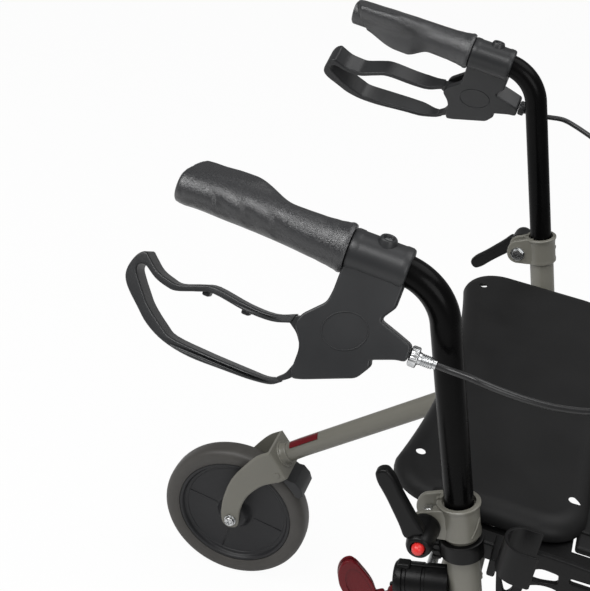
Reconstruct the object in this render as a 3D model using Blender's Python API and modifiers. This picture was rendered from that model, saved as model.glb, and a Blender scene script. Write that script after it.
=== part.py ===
"""A folding four-wheel rollator: +Y towards the user, -Y the way it rolls, +X the user's left, floor at z = 0, metres."""

import math

import bmesh
import bpy
from mathutils import Matrix, Vector

# Wheels and stance
WHEEL_RADIUS = 0.100
TYRE_WIDTH = 0.032
TYRE_DEPTH = 0.021
RIM_WIDTH = 0.026
HUB_BOSS_RADIUS = 0.016
HUB_LENGTH = 0.042
AXLE_RADIUS = 0.005
WHEELBASE = 0.5195
REAR_HALF_TRACK = 0.290
CASTER_TRAIL = 0.040
WHEEL_STEPS = 28

# Front frame: posts that lean back and bend forward into the front legs
POST_HALF_SPACING = 0.240
POST_LEAN = math.radians(17.0)
LEG_TUBE_RADIUS = 0.0125
CLAMP_HEIGHT = 0.634
CLAMP_AHEAD_OF_REAR_AXLE = 0.2845
POST_TO_PIVOT = 0.1689
POST_TO_BEND = 0.190
LEG_BEND_RADIUS = 0.060
POST_BORE_DEPTH = 0.158
CROSS_TUBE_RADIUS = 0.011
SEAT_TUBE_BELOW_CLAMP = 0.068
HEAD_TUBE_RADIUS = 0.015
HEAD_TUBE_LENGTH = 0.056
LEG_FOOT_HEIGHT = 0.0220
STEM_RADIUS = 0.006
FRONT_TUBE_BEHIND_HEAD = 0.030
FORK_GAP = 0.0110

# Rear frame, turning on the pivot bolts beside the posts
REAR_LEG_SLOPE = math.radians(42.4)
CROWN_AHEAD_OF_AXLE = 0.0492
CROWN_ABOVE_TREAD = 0.0125
NECK_RUN = 0.030
KNEE_BELOW_PIVOT = 0.045
REAR_LEG_ABOVE_PIVOT = 0.2025
PIVOT_SPACER = 0.003
PIVOT_BOLT_RADIUS = 0.004
REAR_TUBE_BELOW_PIVOT = 0.0525
HINGE_TUBE_ABOVE_PIVOT = 0.190
FORK_HALF_WIDTH = 0.028
FORK_WALL = 0.0035
NECK_LENGTH = 0.010
BRAKE_PIN_RADIUS = 0.0025
BRAKE_PIN_AHEAD_OF_AXLE = 0.0505
BRAKE_PIN_BELOW_CROWN = 0.0160
SHOE_GAP = 0.0035
SHOE_ANGLES = (122, 128, 134, 140)

# Handles, sliding in the posts
HANDLE_TUBE_RADIUS = 0.011
HANDLE_INSERT = 0.130
POST_TO_GRIP_CORNER = 0.1814
GRIP_PITCH = math.radians(4.7)
HANDLE_BEND_RADIUS = 0.044
GRIP_START = 0.0675
GRIP_END = 0.194
GRIP_END_WALL = 0.004
GRIP_RADIUS = 0.0142
GRIP_FLANGE_RADIUS = 0.0168
WING_TURN = math.radians(-149.0)
HOUSING_TILT = math.radians(27.0)
HOUSING_HALF_WIDTH = 0.010
HOUSING_COLLAR_RADIUS = 0.0155
TANG_HALF_WIDTH = 0.004
LOOP_HALF_WIDTH = 0.009
LOOP_TIP_BEND = 0.015
LEVER_PIN_RADIUS = 0.003
LEVER_PIN = (0.0489, 0.0508)
CABLE_DROP = 0.053
CABLE_RADIUS = 0.0025
ADJUSTER_LENGTH = 0.019
INLET_BELOW_BEND = 0.098

# Height clamps
COLLAR_TOP = 0.004
COLLAR_LENGTH = 0.036
COLLAR_RADIUS = 0.0152
CLAMP_SCREW_DROP = 0.012
CLAMP_SCREW_BACK = 0.0235
CLAMP_SCREW_RADIUS = 0.003
CLAMP_HUB_RADIUS = 0.011
CLAMP_HUB_LENGTH = 0.028
CLAMP_ARM_LENGTH = 0.068
CLAMP_ARM_ANGLES = {"right": math.radians(53.0), "left": math.radians(-47.5)}
BUTTON_RADIUS = 0.0048

# Seat
SEAT_BELOW_CLAMP = 0.027
SEAT_BESIDE_POST = 0.043
SEAT_BACK = 0.060
SEAT_FRONT = -0.100
SEAT_DEPTH = 0.017
SEAT_CORNER = 0.038
SEAT_HOLE_RADIUS = 0.0035
SEAT_HOLE_INSIDE_POST = 0.0865
SEAT_HOLE_BACK = 0.042
SEAT_HOLE_FRONT = -0.0845
SEAT_REST_INSIDE_POST = 0.090
SEAT_LUG_INSIDE_POST = 0.0475
SEAT_LUG_THICKNESS = 0.0075
BRACKET_X = 0.120
BRACKET_WIDTH = 0.030
SEAT_FLANGE_INSET = 0.007

# Side rack, lock and basket
RACK_RING_TOP = -0.036
RACK_RING_HEIGHT = 0.018
RACK_WALL = 0.0045
CLIP_WALL = 0.0025
CLIP_BELOW_CLAMP = 0.017
CLIP_HEIGHT = 0.031
LATTICE_HALF_THICKNESS = 0.0025
LOCK_DROP = 0.0744
LOCK_RADIUS = 0.0142
LOCK_LENGTH = 0.054
LOCK_BOLT_RADIUS = 0.004
LOCK_BOLT_BACK = 0.030
LOCK_PIN_RADIUS = 0.002
LOCK_PIN_BELOW = 0.0185
PADDLE_HALF_THICKNESS = 0.0033
PADDLE_BARREL_RADIUS = 0.0045
PADDLE_BARREL_HALF_WIDTH = 0.0080
PADDLE_TURN = math.radians(22.0)
BASKET_BESIDE_LEG = 0.040
BASKET_FRONT = -0.325
BASKET_BACK = -0.160
BASKET_DEPTH = 0.1924
BASKET_WALL = 0.003
BASKET_SLOT_WIDTH = 0.013
BASKET_SLOT_SPACING = 0.030
BASKET_SLOT_ROWS = ((0.135, 0.489), (0.551, 0.884))

# Clearance between pieces that touch or fit
GAP = 0.0003

# Places worked out from the sizes above
FRONT_AXLE_Y = -WHEELBASE / 2
REAR_AXLE_Y = WHEELBASE / 2
CLAMP_Y = REAR_AXLE_Y - CLAMP_AHEAD_OF_REAR_AXLE
SWIVEL_Y = FRONT_AXLE_Y - CASTER_TRAIL
RIM_RADIUS = WHEEL_RADIUS - TYRE_DEPTH
CROWN_HEIGHT = WHEEL_RADIUS + CROWN_ABOVE_TREAD
REAR_LEG_X = POST_HALF_SPACING + 2 * LEG_TUBE_RADIUS + PIVOT_SPACER
CROWN_BOTTOM = 2 * WHEEL_RADIUS + FORK_GAP
CROWN_TOP = CROWN_BOTTOM + FORK_WALL
SEAT_TOP = CLAMP_HEIGHT - SEAT_BELOW_CLAMP
SEAT_HALF_WIDTH = POST_HALF_SPACING - SEAT_BESIDE_POST
SEAT_HOLE_X = POST_HALF_SPACING - SEAT_HOLE_INSIDE_POST
SEAT_REST_X = POST_HALF_SPACING - SEAT_REST_INSIDE_POST
SEAT_LUG_OUTER_X = -POST_HALF_SPACING + SEAT_LUG_INSIDE_POST
CLIP_BOTTOM = CLAMP_HEIGHT - CLIP_BELOW_CLAMP
CLIP_TOP = CLIP_BOTTOM + CLIP_HEIGHT
BASKET_HALF_WIDTH = POST_HALF_SPACING - BASKET_BESIDE_LEG
SIDES = {"right": -1, "left": 1}

COLOURS = {
    "taupe_paint": ((0.163, 0.158, 0.134), 0.38, 0.35),
    "black_plastic": ((0.022, 0.022, 0.024), 0.48, 0.0),
    "black_tube": ((0.012, 0.012, 0.013), 0.22, 0.3),
    "seat_plastic": ((0.018, 0.018, 0.019), 0.55, 0.0),
    "grip_rubber": ((0.030, 0.030, 0.032), 0.62, 0.0),
    "grey_tyre": ((0.16, 0.145, 0.14), 0.70, 0.0),
    "hub_plastic": ((0.030, 0.031, 0.036), 0.45, 0.0),
    "zinc": ((0.62, 0.62, 0.60), 0.32, 1.0),
    "red_plastic": ((0.55, 0.02, 0.03), 0.35, 0.0),
    "cable_sleeve": ((0.015, 0.015, 0.016), 0.40, 0.0),
}


def clear_scene():
    for obj in list(bpy.data.objects):
        bpy.data.objects.remove(obj)
    for name in ("rollator", "cutters"):
        bpy.context.scene.collection.children.link(bpy.data.collections.new(name))


def material(name):
    if name in bpy.data.materials:
        return bpy.data.materials[name]
    colour, roughness, metallic = COLOURS[name]
    made = bpy.data.materials.new(name)
    made.use_nodes = True
    shader = made.node_tree.nodes["Principled BSDF"]
    shader.inputs["Base Color"].default_value = (*colour, 1.0)
    shader.inputs["Roughness"].default_value = roughness
    shader.inputs["Metallic"].default_value = metallic
    made.diffuse_color = (*colour, 1.0)
    return made


def new_object(name, mesh, matrix=Matrix(), finish=None):
    obj = bpy.data.objects.new(name, mesh)
    obj.matrix_world = matrix
    if finish:
        mesh.materials.clear()
        mesh.materials.append(material(finish).copy())
        mesh.materials[0].name = f"{name}_finish"
        bpy.data.collections["rollator"].objects.link(obj)
        mesh.shade_smooth()
        mesh.set_sharp_from_angle(angle=math.radians(35))
    else:
        bpy.data.collections["cutters"].objects.link(obj)
        obj.hide_render = True
        obj.display_type = "WIRE"
    return obj


def mesh_from(name, build):
    """A mesh filled by a function that takes an empty bmesh."""
    mesh = bpy.data.meshes.new(name)
    form = bmesh.new()
    build(form)
    bmesh.ops.recalc_face_normals(form, faces=form.faces)
    form.to_mesh(mesh)
    form.free()
    return mesh


def box_mesh(low, high, bevel=0.0):
    low, high = Vector(low), Vector(high)

    def build(form):
        size = Matrix.Diagonal((*(high - low), 1.0))
        bmesh.ops.create_cube(form, size=1.0, matrix=Matrix.Translation((low + high) / 2) @ size)
        if bevel:
            bmesh.ops.bevel(form, geom=form.edges[:], offset=bevel, segments=1, affect="EDGES", profile=0.5)

    return mesh_from("box", build)


def rod_mesh(start, end, radius, sides=16, end_radius=None):
    start, end = Vector(start), Vector(end)
    along = (end - start).to_track_quat("Z", "Y").to_matrix().to_4x4()

    def build(form):
        bmesh.ops.create_cone(
            form,
            cap_ends=True,
            segments=sides,
            radius1=radius,
            radius2=radius if end_radius is None else end_radius,
            depth=(end - start).length,
            matrix=Matrix.Translation((start + end) / 2) @ along,
        )

    return mesh_from("rod", build)


def mesh_of(obj):
    """The evaluated mesh of an object, with a curve's loose caps welded on; the object itself is removed."""
    bpy.context.view_layer.update()
    seen = obj.evaluated_get(bpy.context.evaluated_depsgraph_get())
    mesh = bpy.data.meshes.new_from_object(seen)
    mesh.transform(obj.matrix_world)
    form = bmesh.new()
    form.from_mesh(mesh)
    bmesh.ops.remove_doubles(form, verts=form.verts, dist=0.00002)
    form.to_mesh(mesh)
    form.free()
    bpy.data.objects.remove(obj)
    return mesh


def curve_mesh(points, radius, resolution=5, radii=None):
    """A round bar along a smooth list of points."""
    curve = bpy.data.curves.new("run", "CURVE")
    curve.dimensions = "3D"
    curve.bevel_depth = radius
    curve.bevel_resolution = resolution
    curve.use_fill_caps = True
    spline = curve.splines.new("POLY")
    spline.points.add(len(points) - 1)
    for index, place in enumerate(points):
        spline.points[index].co = (*place, 1.0)
        spline.points[index].radius = radii[index] if radii else 1.0
    run = bpy.data.objects.new("run", curve)
    bpy.context.scene.collection.objects.link(run)
    return mesh_of(run)


def plate_mesh(outline, half_thickness, matrix=Matrix(), holes=()):
    """A flat outline in the matrix's XY plane, thickened both ways along its Z."""
    curve = bpy.data.curves.new("outline", "CURVE")
    curve.dimensions = "2D"
    curve.fill_mode = "BOTH"
    curve.extrude = half_thickness
    for loop in (outline, *holes):
        spline = curve.splines.new("POLY")
        spline.points.add(len(loop) - 1)
        for index, (across, up) in enumerate(loop):
            spline.points[index].co = (across, up, 0.0, 1.0)
        spline.use_cyclic_u = True
    flat = bpy.data.objects.new("outline", curve)
    flat.matrix_world = matrix
    bpy.context.scene.collection.objects.link(flat)
    return mesh_of(flat)


def turned_mesh(profile, matrix=Matrix(), steps=32):
    """A closed profile of (radius, height) points, down its outer side first, turned about the matrix's Z."""
    mesh = bpy.data.meshes.new("turned")
    form = bmesh.new()
    corners = [form.verts.new((radius, 0.0, height)) for radius, height in profile]
    for index, corner in enumerate(corners):
        form.edges.new((corner, corners[(index + 1) % len(corners)]))
    form.to_mesh(mesh)
    form.free()
    obj = bpy.data.objects.new("turned", mesh)
    obj.matrix_world = matrix
    bpy.context.scene.collection.objects.link(obj)
    screw = obj.modifiers.new("Screw", "SCREW")
    screw.axis = "Z"
    screw.steps = steps
    screw.render_steps = steps
    screw.use_merge_vertices = True
    screw.merge_threshold = 0.00001
    screw.use_normal_calculate = True
    solid = mesh_of(obj)
    form = bmesh.new()
    form.from_mesh(solid)
    bmesh.ops.recalc_face_normals(form, faces=form.faces)
    form.to_mesh(solid)
    form.free()
    return solid


def combine(base, others, operation):
    """Boolean of a mesh with a list of meshes, one after another."""
    body = new_object("body", base)
    for other in others:
        tool = new_object("tool", other)
        step = body.modifiers.new("Boolean", "BOOLEAN")
        step.operation = operation
        step.solver = "EXACT"
        step.object = tool
    tools = [step.object for step in body.modifiers]
    mesh = mesh_of(body)
    for tool in tools:
        bpy.data.objects.remove(tool)
    return mesh


def joined(base, *others):
    return combine(base, others, "UNION")


def cut(base, *others):
    return combine(base, others, "DIFFERENCE")


def mirrored(mesh):
    """The same shape on the other side of the plane x = 0."""
    form = bmesh.new()
    form.from_mesh(mesh)
    bmesh.ops.scale(form, vec=(-1.0, 1.0, 1.0), verts=form.verts)
    bmesh.ops.reverse_faces(form, faces=form.faces)
    other = bpy.data.meshes.new("mirrored")
    form.to_mesh(other)
    form.free()
    return other


def place(name, mesh, finish, origin=(0.0, 0.0, 0.0), turn=0.0):
    """A finished piece whose mesh is in world places, with its origin on its joint; turn is about X at the origin."""
    origin = Vector(origin)
    mesh = mesh.copy()
    mesh.transform(Matrix.Translation(-origin))
    return new_object(name, mesh, Matrix.Translation(origin) @ Matrix.Rotation(turn, 4, "X"), finish)


def place_pair(name, mesh, finish, origin=(0.0, 0.0, 0.0), turns=None):
    """A right-hand piece and its mirror image on the left."""
    turns = turns or {"right": 0.0, "left": 0.0}
    place(f"{name}_right", mesh, finish, origin, turns["right"])
    place(f"{name}_left", mirrored(mesh), finish, (-origin[0], origin[1], origin[2]), turns["left"])


def bent(corners, radius, steps=6):
    """A path through corner points, with each inner corner rounded to the radius."""
    corners = [Vector(corner) for corner in corners]
    path = [corners[0]]
    for before, corner, after in zip(corners, corners[1:], corners[2:]):
        inward = (before - corner).normalized()
        outward = (after - corner).normalized()
        half = inward.angle(outward) / 2
        middle = corner + (inward + outward).normalized() * radius / math.sin(half)
        first = corner + inward * radius / math.tan(half) - middle
        last = corner + outward * radius / math.tan(half) - middle
        for step in range(steps + 1):
            path.append(middle + arc_point(first, last, step / steps))
    path.append(corners[-1])
    return path


def arc_point(first, last, share):
    angle = first.angle(last)
    return (first * math.sin((1 - share) * angle) + last * math.sin(share * angle)) / math.sin(angle)


def smooth_route(points, spacing):
    """Points along a smooth curve through a hand-chosen route."""
    points = [Vector(point) for point in points]
    padded = [2 * points[0] - points[1], *points, 2 * points[-1] - points[-2]]
    path = []
    for a, b, c, d in zip(padded, padded[1:], padded[2:], padded[3:]):
        count = max(1, round((c - b).length / spacing))
        for step in range(count):
            t = step / count
            path.append(
                0.5 * (2 * b + (c - a) * t + (2 * a - 5 * b + 4 * c - d) * t**2 + (3 * b - a - 3 * c + d) * t**3)
            )
    path.append(points[-1])
    return path


def post_point(along, back=0.0, x=-POST_HALF_SPACING):
    """A point by its distance up the post from the collar's seat, and behind its axis."""
    y = CLAMP_Y + along * math.sin(POST_LEAN) + back * math.cos(POST_LEAN)
    z = CLAMP_HEIGHT + along * math.cos(POST_LEAN) - back * math.sin(POST_LEAN)
    return Vector((x, y, z))


POST_FRAME = Matrix.Translation(post_point(0.0)) @ Matrix.Rotation(-POST_LEAN, 4, "X")
PIVOT = post_point(-POST_TO_PIVOT)
LEG_DOWN = Vector((0.0, math.cos(REAR_LEG_SLOPE), -math.sin(REAR_LEG_SLOPE)))


def leg_point(up, x=-REAR_LEG_X):
    """A point on the rear leg's line, by its distance above the pivot."""
    return Vector((x, PIVOT.y, PIVOT.z)) - LEG_DOWN * up


BEND = post_point(-POST_TO_BEND)
HEAD_TUBE_BOTTOM = CROWN_TOP + GAP
HEAD_TUBE_TOP = HEAD_TUBE_BOTTOM + HEAD_TUBE_LENGTH
LEG_FOOT = Vector((-POST_HALF_SPACING, SWIVEL_Y, HEAD_TUBE_BOTTOM + LEG_FOOT_HEIGHT))
FRONT_TUBE_AT = LEG_FOOT + Vector((0, 1, (BEND.z - LEG_FOOT.z) / (BEND.y - LEG_FOOT.y))) * FRONT_TUBE_BEHIND_HEAD
SEAT_TUBE_AT = post_point(-SEAT_TUBE_BELOW_CLAMP, x=0.0)
HINGE_AT = leg_point(HINGE_TUBE_ABOVE_PIVOT, x=0.0)
REAR_TUBE_AT = leg_point(-REAR_TUBE_BELOW_PIVOT, x=0.0)
CROWN = Vector((-REAR_HALF_TRACK, REAR_AXLE_Y - CROWN_AHEAD_OF_AXLE, WHEEL_RADIUS + CROWN_HEIGHT))


def front_frame():
    path = bent((post_point(0.0), BEND, LEG_FOOT), LEG_BEND_RADIUS)
    bore = rod_mesh(post_point(0.01), post_point(-POST_BORE_DEPTH), HANDLE_TUBE_RADIUS + GAP, 16)
    pivot_hole = rod_mesh(
        PIVOT - Vector((0.03, 0, 0)), PIVOT + Vector((0.03, 0, 0)), PIVOT_BOLT_RADIUS + GAP, 12
    )
    lip = 0.002
    head = turned_mesh(
        [
            (HEAD_TUBE_RADIUS + lip / 2, HEAD_TUBE_TOP),
            (HEAD_TUBE_RADIUS + lip / 2, HEAD_TUBE_TOP - 2 * lip),
            (HEAD_TUBE_RADIUS, HEAD_TUBE_TOP - 3 * lip),
            (HEAD_TUBE_RADIUS, HEAD_TUBE_BOTTOM + 3 * lip),
            (HEAD_TUBE_RADIUS + lip / 2, HEAD_TUBE_BOTTOM + 2 * lip),
            (HEAD_TUBE_RADIUS + lip / 2, HEAD_TUBE_BOTTOM),
            (0.0, HEAD_TUBE_BOTTOM),
            (0.0, HEAD_TUBE_TOP),
        ],
        Matrix.Translation((-POST_HALF_SPACING, SWIVEL_Y, 0.0)),
        24,
    )
    stem_room = rod_mesh(
        (LEG_FOOT.x, SWIVEL_Y, HEAD_TUBE_BOTTOM - 0.01),
        (LEG_FOOT.x, SWIVEL_Y, HEAD_TUBE_TOP + 0.01),
        STEM_RADIUS + GAP,
        24,
    )
    leg = cut(joined(curve_mesh(path, LEG_TUBE_RADIUS, 6), head), bore, pivot_hole, stem_room)
    place_pair("front_leg", leg, "taupe_paint")

    for name, at in (("seat_rest_tube", SEAT_TUBE_AT), ("front_cross_tube", FRONT_TUBE_AT)):
        reach = POST_HALF_SPACING
        bar = rod_mesh((-reach, at.y, at.z), (reach, at.y, at.z), CROSS_TUBE_RADIUS, 16)
        ends = [post_space(), mirrored(post_space())]
        place(name, cut(bar, *ends), "taupe_paint")


def post_space():
    """The room that the right-hand front leg takes, with the clearance round it."""
    return curve_mesh(bent((post_point(0.05), BEND, LEG_FOOT), LEG_BEND_RADIUS), LEG_TUBE_RADIUS + GAP, 6)


def pivot_bolts():
    inner = POST_HALF_SPACING - LEG_TUBE_RADIUS - GAP
    outer = REAR_LEG_X + LEG_TUBE_RADIUS + GAP
    head_radius = 0.0075
    head = 0.005
    spacer = POST_HALF_SPACING + LEG_TUBE_RADIUS + GAP
    profile = [
        (head_radius, outer + head),
        (head_radius, outer),
        (PIVOT_BOLT_RADIUS, outer),
        (PIVOT_BOLT_RADIUS, spacer + PIVOT_SPACER - 2 * GAP),
        (head_radius, spacer + PIVOT_SPACER - 2 * GAP),
        (head_radius, spacer),
        (PIVOT_BOLT_RADIUS, spacer),
        (PIVOT_BOLT_RADIUS, inner),
        (head_radius, inner),
        (head_radius, inner - head),
    ]
    place_pair("pivot_bolt", x_turned(profile, PIVOT.y, PIVOT.z, 12), "zinc")


def x_turned(profile, y, z, steps, x=0.0, open_bore=False):
    """A profile of (radius, distance outward from x = 0) turned about a line along X, on the right-hand side."""
    closed = profile if open_bore else [*profile, (0.0, profile[-1][1]), (0.0, profile[0][1])]
    return turned_mesh(closed, Matrix.Translation((x, y, z)) @ Matrix.Rotation(math.radians(-90), 4, "Y"), steps)


def rear_frame():
    upper = CROWN - LEG_DOWN * NECK_RUN
    knee = leg_point(-KNEE_BELOW_PIVOT)
    start = CROWN - LEG_DOWN * (NECK_LENGTH + GAP)
    leg = curve_mesh([start, upper, knee, leg_point(0.0), leg_point(REAR_LEG_ABOVE_PIVOT)], LEG_TUBE_RADIUS, 6)
    across = Vector((0.04, 0.0, 0.0))
    middle = Vector((-REAR_LEG_X, PIVOT.y, PIVOT.z))
    leg = cut(leg, rod_mesh(middle - across, middle + across, PIVOT_BOLT_RADIUS + GAP, 12))
    place_pair("rear_leg", leg, "taupe_paint")

    def leg_space():
        whole = [start, upper, knee, leg_point(0.0), leg_point(REAR_LEG_ABOVE_PIVOT + 0.02)]
        return curve_mesh(whole, LEG_TUBE_RADIUS + GAP, 6)

    for name, at in (("rear_cross_tube", REAR_TUBE_AT), ("hinge_cross_tube", HINGE_AT)):
        reach = REAR_LEG_X
        bar = rod_mesh((-reach, at.y, at.z), (reach, at.y, at.z), CROSS_TUBE_RADIUS, 16)
        place(name, cut(bar, leg_space(), mirrored(leg_space())), "taupe_paint")


# Fork blades from the side, from the axle, as shares of the crown's height over it
REAR_BLADE = (
    (-0.315, 1.141), (-0.167, 1.016), (-0.024, 0.793), (0.082, 0.566), (0.133, 0.310), (0.137, 0.102),
    (0.105, -0.058), (0.036, -0.120), (-0.040, -0.116), (-0.100, -0.053), (-0.094, 0.168), (-0.130, 0.356),
    (-0.197, 0.493), (-0.302, 0.632), (-0.415, 0.714), (-0.506, 0.775), (-0.573, 0.855),
)
CASTER_BLADE = (
    (-0.524, 1.000), (-0.175, 1.000), (-0.096, 0.838), (-0.009, 0.629), (0.066, 0.393), (0.112, 0.157),
    (0.108, -0.035), (0.061, -0.100), (-0.009, -0.118), (-0.079, -0.083), (-0.107, 0.000), (-0.112, 0.157),
    (-0.166, 0.376), (-0.279, 0.594), (-0.402, 0.777), (-0.524, 0.926),
)


def scaled(outline, across, up=None):
    return [(x * across, y * (across if up is None else up)) for x, y in outline]


def yz_plane(x, y, z):
    """Matrix whose X runs along world Y and whose Y runs up."""
    frame = Matrix(((0, 0, 1), (1, 0, 0), (0, 1, 0))).to_4x4()
    return Matrix.Translation((x, y, z)) @ frame


def forks():
    inner = FORK_HALF_WIDTH - FORK_WALL
    axle = Vector((-REAR_HALF_TRACK, REAR_AXLE_Y, WHEEL_RADIUS))
    plate = plate_mesh(scaled(REAR_BLADE, CROWN_HEIGHT), FORK_HALF_WIDTH, yz_plane(*axle))
    crown_frame = Matrix.Translation(CROWN) @ Matrix.Rotation(-math.radians(90) - REAR_LEG_SLOPE, 4, "X")
    wheel_room = box_mesh((-inner, -0.08, FORK_WALL), (inner, 0.08, 0.25))
    wheel_room.transform(crown_frame)
    hole = rod_mesh(axle - Vector((0.05, 0, 0)), axle + Vector((0.05, 0, 0)), AXLE_RADIUS + GAP, 16)
    pin_at = brake_pin_place()
    pin_reach = Vector((FORK_HALF_WIDTH + 0.001, 0, 0))
    pin = rod_mesh(pin_at - pin_reach, pin_at + pin_reach, BRAKE_PIN_RADIUS, 10)
    neck = rod_mesh(CROWN + LEG_DOWN * 0.002, CROWN - LEG_DOWN * NECK_LENGTH, LEG_TUBE_RADIUS + 0.0015, 20)
    fork = cut(joined(cut(plate, wheel_room), neck, pin), hole)
    place_pair("rear_fork", fork, "taupe_paint")

    head = 0.0052
    washer = 0.0016
    face = FORK_HALF_WIDTH + GAP
    bolt = axle_mesh(face, head, washer, -REAR_HALF_TRACK, REAR_AXLE_Y)
    place_pair("rear_axle", bolt, "zinc")

    swivel = Vector((-POST_HALF_SPACING, SWIVEL_Y, 0.0))
    caster_axle = Vector((-POST_HALF_SPACING, FRONT_AXLE_Y, WHEEL_RADIUS))
    plate = plate_mesh(scaled(CASTER_BLADE, CROWN_TOP - WHEEL_RADIUS), FORK_HALF_WIDTH, yz_plane(*caster_axle))
    room = box_mesh(
        (swivel.x - inner, swivel.y - 0.1, 0.0), (swivel.x + inner, swivel.y + 0.15, CROWN_BOTTOM)
    )
    hole = rod_mesh(
        caster_axle - Vector((0.05, 0, 0)), caster_axle + Vector((0.05, 0, 0)), AXLE_RADIUS + GAP, 16
    )
    stem_hole = rod_mesh(swivel + Vector((0, 0, 0.15)), swivel + Vector((0, 0, 0.25)), STEM_RADIUS + GAP, 16)
    place_pair("front_fork", cut(plate, room, hole, stem_hole), "taupe_paint", swivel + Vector((0, 0, CROWN_TOP)))
    bolt = axle_mesh(face, head, washer, -POST_HALF_SPACING, FRONT_AXLE_Y)
    place_pair("front_axle", bolt, "zinc", caster_axle)

    cap = 0.0085
    stem = turned_mesh(
        [
            (0.0, HEAD_TUBE_TOP + GAP + cap),
            (0.009, HEAD_TUBE_TOP + GAP + cap),
            (0.0135, HEAD_TUBE_TOP + GAP + cap / 2),
            (0.0135, HEAD_TUBE_TOP + GAP),
            (STEM_RADIUS, HEAD_TUBE_TOP + GAP),
            (STEM_RADIUS, CROWN_BOTTOM - GAP),
            (0.0095, CROWN_BOTTOM - GAP),
            (0.0095, CROWN_BOTTOM - GAP - 0.005),
            (0.0, CROWN_BOTTOM - GAP - 0.005),
        ],
        Matrix.Translation((swivel.x, swivel.y, 0.0)),
        16,
    )
    place_pair("caster_stem", stem, "zinc", swivel + Vector((0, 0, CROWN_TOP)))


def axle_mesh(face, head, washer, x, y):
    profile = [
        (0.0058, face + washer + head),
        (0.0065, face + washer + head - 0.001),
        (0.0065, face + washer),
        (0.0082, face + washer),
        (0.0082, face),
        (AXLE_RADIUS, face),
        (AXLE_RADIUS, -face),
        (0.0082, -face),
        (0.0082, -face - washer),
        (0.0065, -face - washer),
        (0.0065, -face - washer - head),
    ]
    return x_turned(profile, y, WHEEL_RADIUS, 12, x)


def wheels():
    tread = TYRE_WIDTH / 2
    rim = RIM_WIDTH / 2
    tyre_profile = [
        (RIM_RADIUS + GAP, rim),
        (WHEEL_RADIUS - 0.012, tread),
        (WHEEL_RADIUS - 0.004, tread - 0.002),
        (WHEEL_RADIUS, tread - 0.009),
        (WHEEL_RADIUS, -tread + 0.009),
        (WHEEL_RADIUS - 0.004, -tread + 0.002),
        (WHEEL_RADIUS - 0.012, -tread),
        (RIM_RADIUS + GAP, -rim),
    ]
    web = 0.006
    hub_profile = [
        (RIM_RADIUS, rim),
        (RIM_RADIUS, -rim),
        (RIM_RADIUS - 0.005, -rim),
        (RIM_RADIUS - 0.008, -web),
        (HUB_BOSS_RADIUS + 0.004, -web - 0.001),
        (HUB_BOSS_RADIUS, -HUB_LENGTH / 2),
        (AXLE_RADIUS + GAP, -HUB_LENGTH / 2),
        (AXLE_RADIUS + GAP, HUB_LENGTH / 2),
        (HUB_BOSS_RADIUS, HUB_LENGTH / 2),
        (HUB_BOSS_RADIUS + 0.004, web + 0.001),
        (RIM_RADIUS - 0.008, web),
        (RIM_RADIUS - 0.005, rim),
    ]
    for name, x, y in (("rear", -REAR_HALF_TRACK, REAR_AXLE_Y), ("front", -POST_HALF_SPACING, FRONT_AXLE_Y)):
        axle = Vector((x, y, WHEEL_RADIUS))
        tyre = x_turned(tyre_profile, y, WHEEL_RADIUS, WHEEL_STEPS, x, open_bore=True)
        hub = x_turned(hub_profile, y, WHEEL_RADIUS, WHEEL_STEPS, x, open_bore=True)
        place_pair(f"{name}_tyre", tyre, "grey_tyre", axle)
        place_pair(f"{name}_hub", hub, "hub_plastic", axle)


def around_axle(angle, above_tread):
    """A point beside the rear wheel, by its angle from straight back and its height above the tread."""
    reach = WHEEL_RADIUS + above_tread
    return (reach * math.cos(math.radians(angle)), reach * math.sin(math.radians(angle)))


def shoe_outline():
    face = [around_axle(angle, SHOE_GAP) for angle in SHOE_ANGLES]
    back = [(142, 0.008), (141, 0.014), (136, 0.017), (130, 0.0165), (127.5, 0.012), (124, 0.0105)]
    ring = []
    for angle in (80, 30, -20, -65):
        y = 0.0048 * math.cos(math.radians(angle)) - BRAKE_PIN_AHEAD_OF_AXLE
        z = 0.0048 * math.sin(math.radians(angle)) + CROWN_HEIGHT - BRAKE_PIN_BELOW_CROWN
        ring.append((y, z))
    return face + [around_axle(*spot) for spot in back] + ring


def brake_pin_place():
    """Across the fork, behind the crown's front edge."""
    return CROWN + Vector((0.0, CROWN_AHEAD_OF_AXLE - BRAKE_PIN_AHEAD_OF_AXLE, -BRAKE_PIN_BELOW_CROWN))


def brakes():
    at = brake_pin_place()
    half_width = FORK_HALF_WIDTH - FORK_WALL - 0.003
    arm = plate_mesh(shoe_outline(), half_width, yz_plane(-REAR_HALF_TRACK, REAR_AXLE_Y, WHEEL_RADIUS))
    side = Vector((FORK_HALF_WIDTH + 0.01, 0, 0))
    arm = cut(arm, rod_mesh(at - side, at + side, BRAKE_PIN_RADIUS + GAP, 10))
    place_pair("brake_arm", arm, "black_plastic", at)


GRIP_CORNER = post_point(POST_TO_GRIP_CORNER)
GRIP_ALONG = Vector((0.0, math.cos(GRIP_PITCH), math.sin(GRIP_PITCH)))
GRIP_UP = Vector((0.0, -math.sin(GRIP_PITCH), math.cos(GRIP_PITCH)))
HOUSING_DOWN = -GRIP_UP * math.cos(HOUSING_TILT) - Vector((math.sin(HOUSING_TILT), 0.0, 0.0))
HOUSING_OUT = GRIP_UP * math.sin(HOUSING_TILT) - Vector((math.cos(HOUSING_TILT), 0.0, 0.0))


def grip_plane():
    """Matrix from (along the grip, below it, outward) to the world, on the right-hand side."""
    axes = Matrix((GRIP_ALONG, HOUSING_DOWN, HOUSING_OUT)).transposed().to_4x4()
    return Matrix.Translation(GRIP_CORNER) @ axes


def in_grip(along, down, out=0.0):
    return grip_plane() @ Vector((along, down, out))


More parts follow.
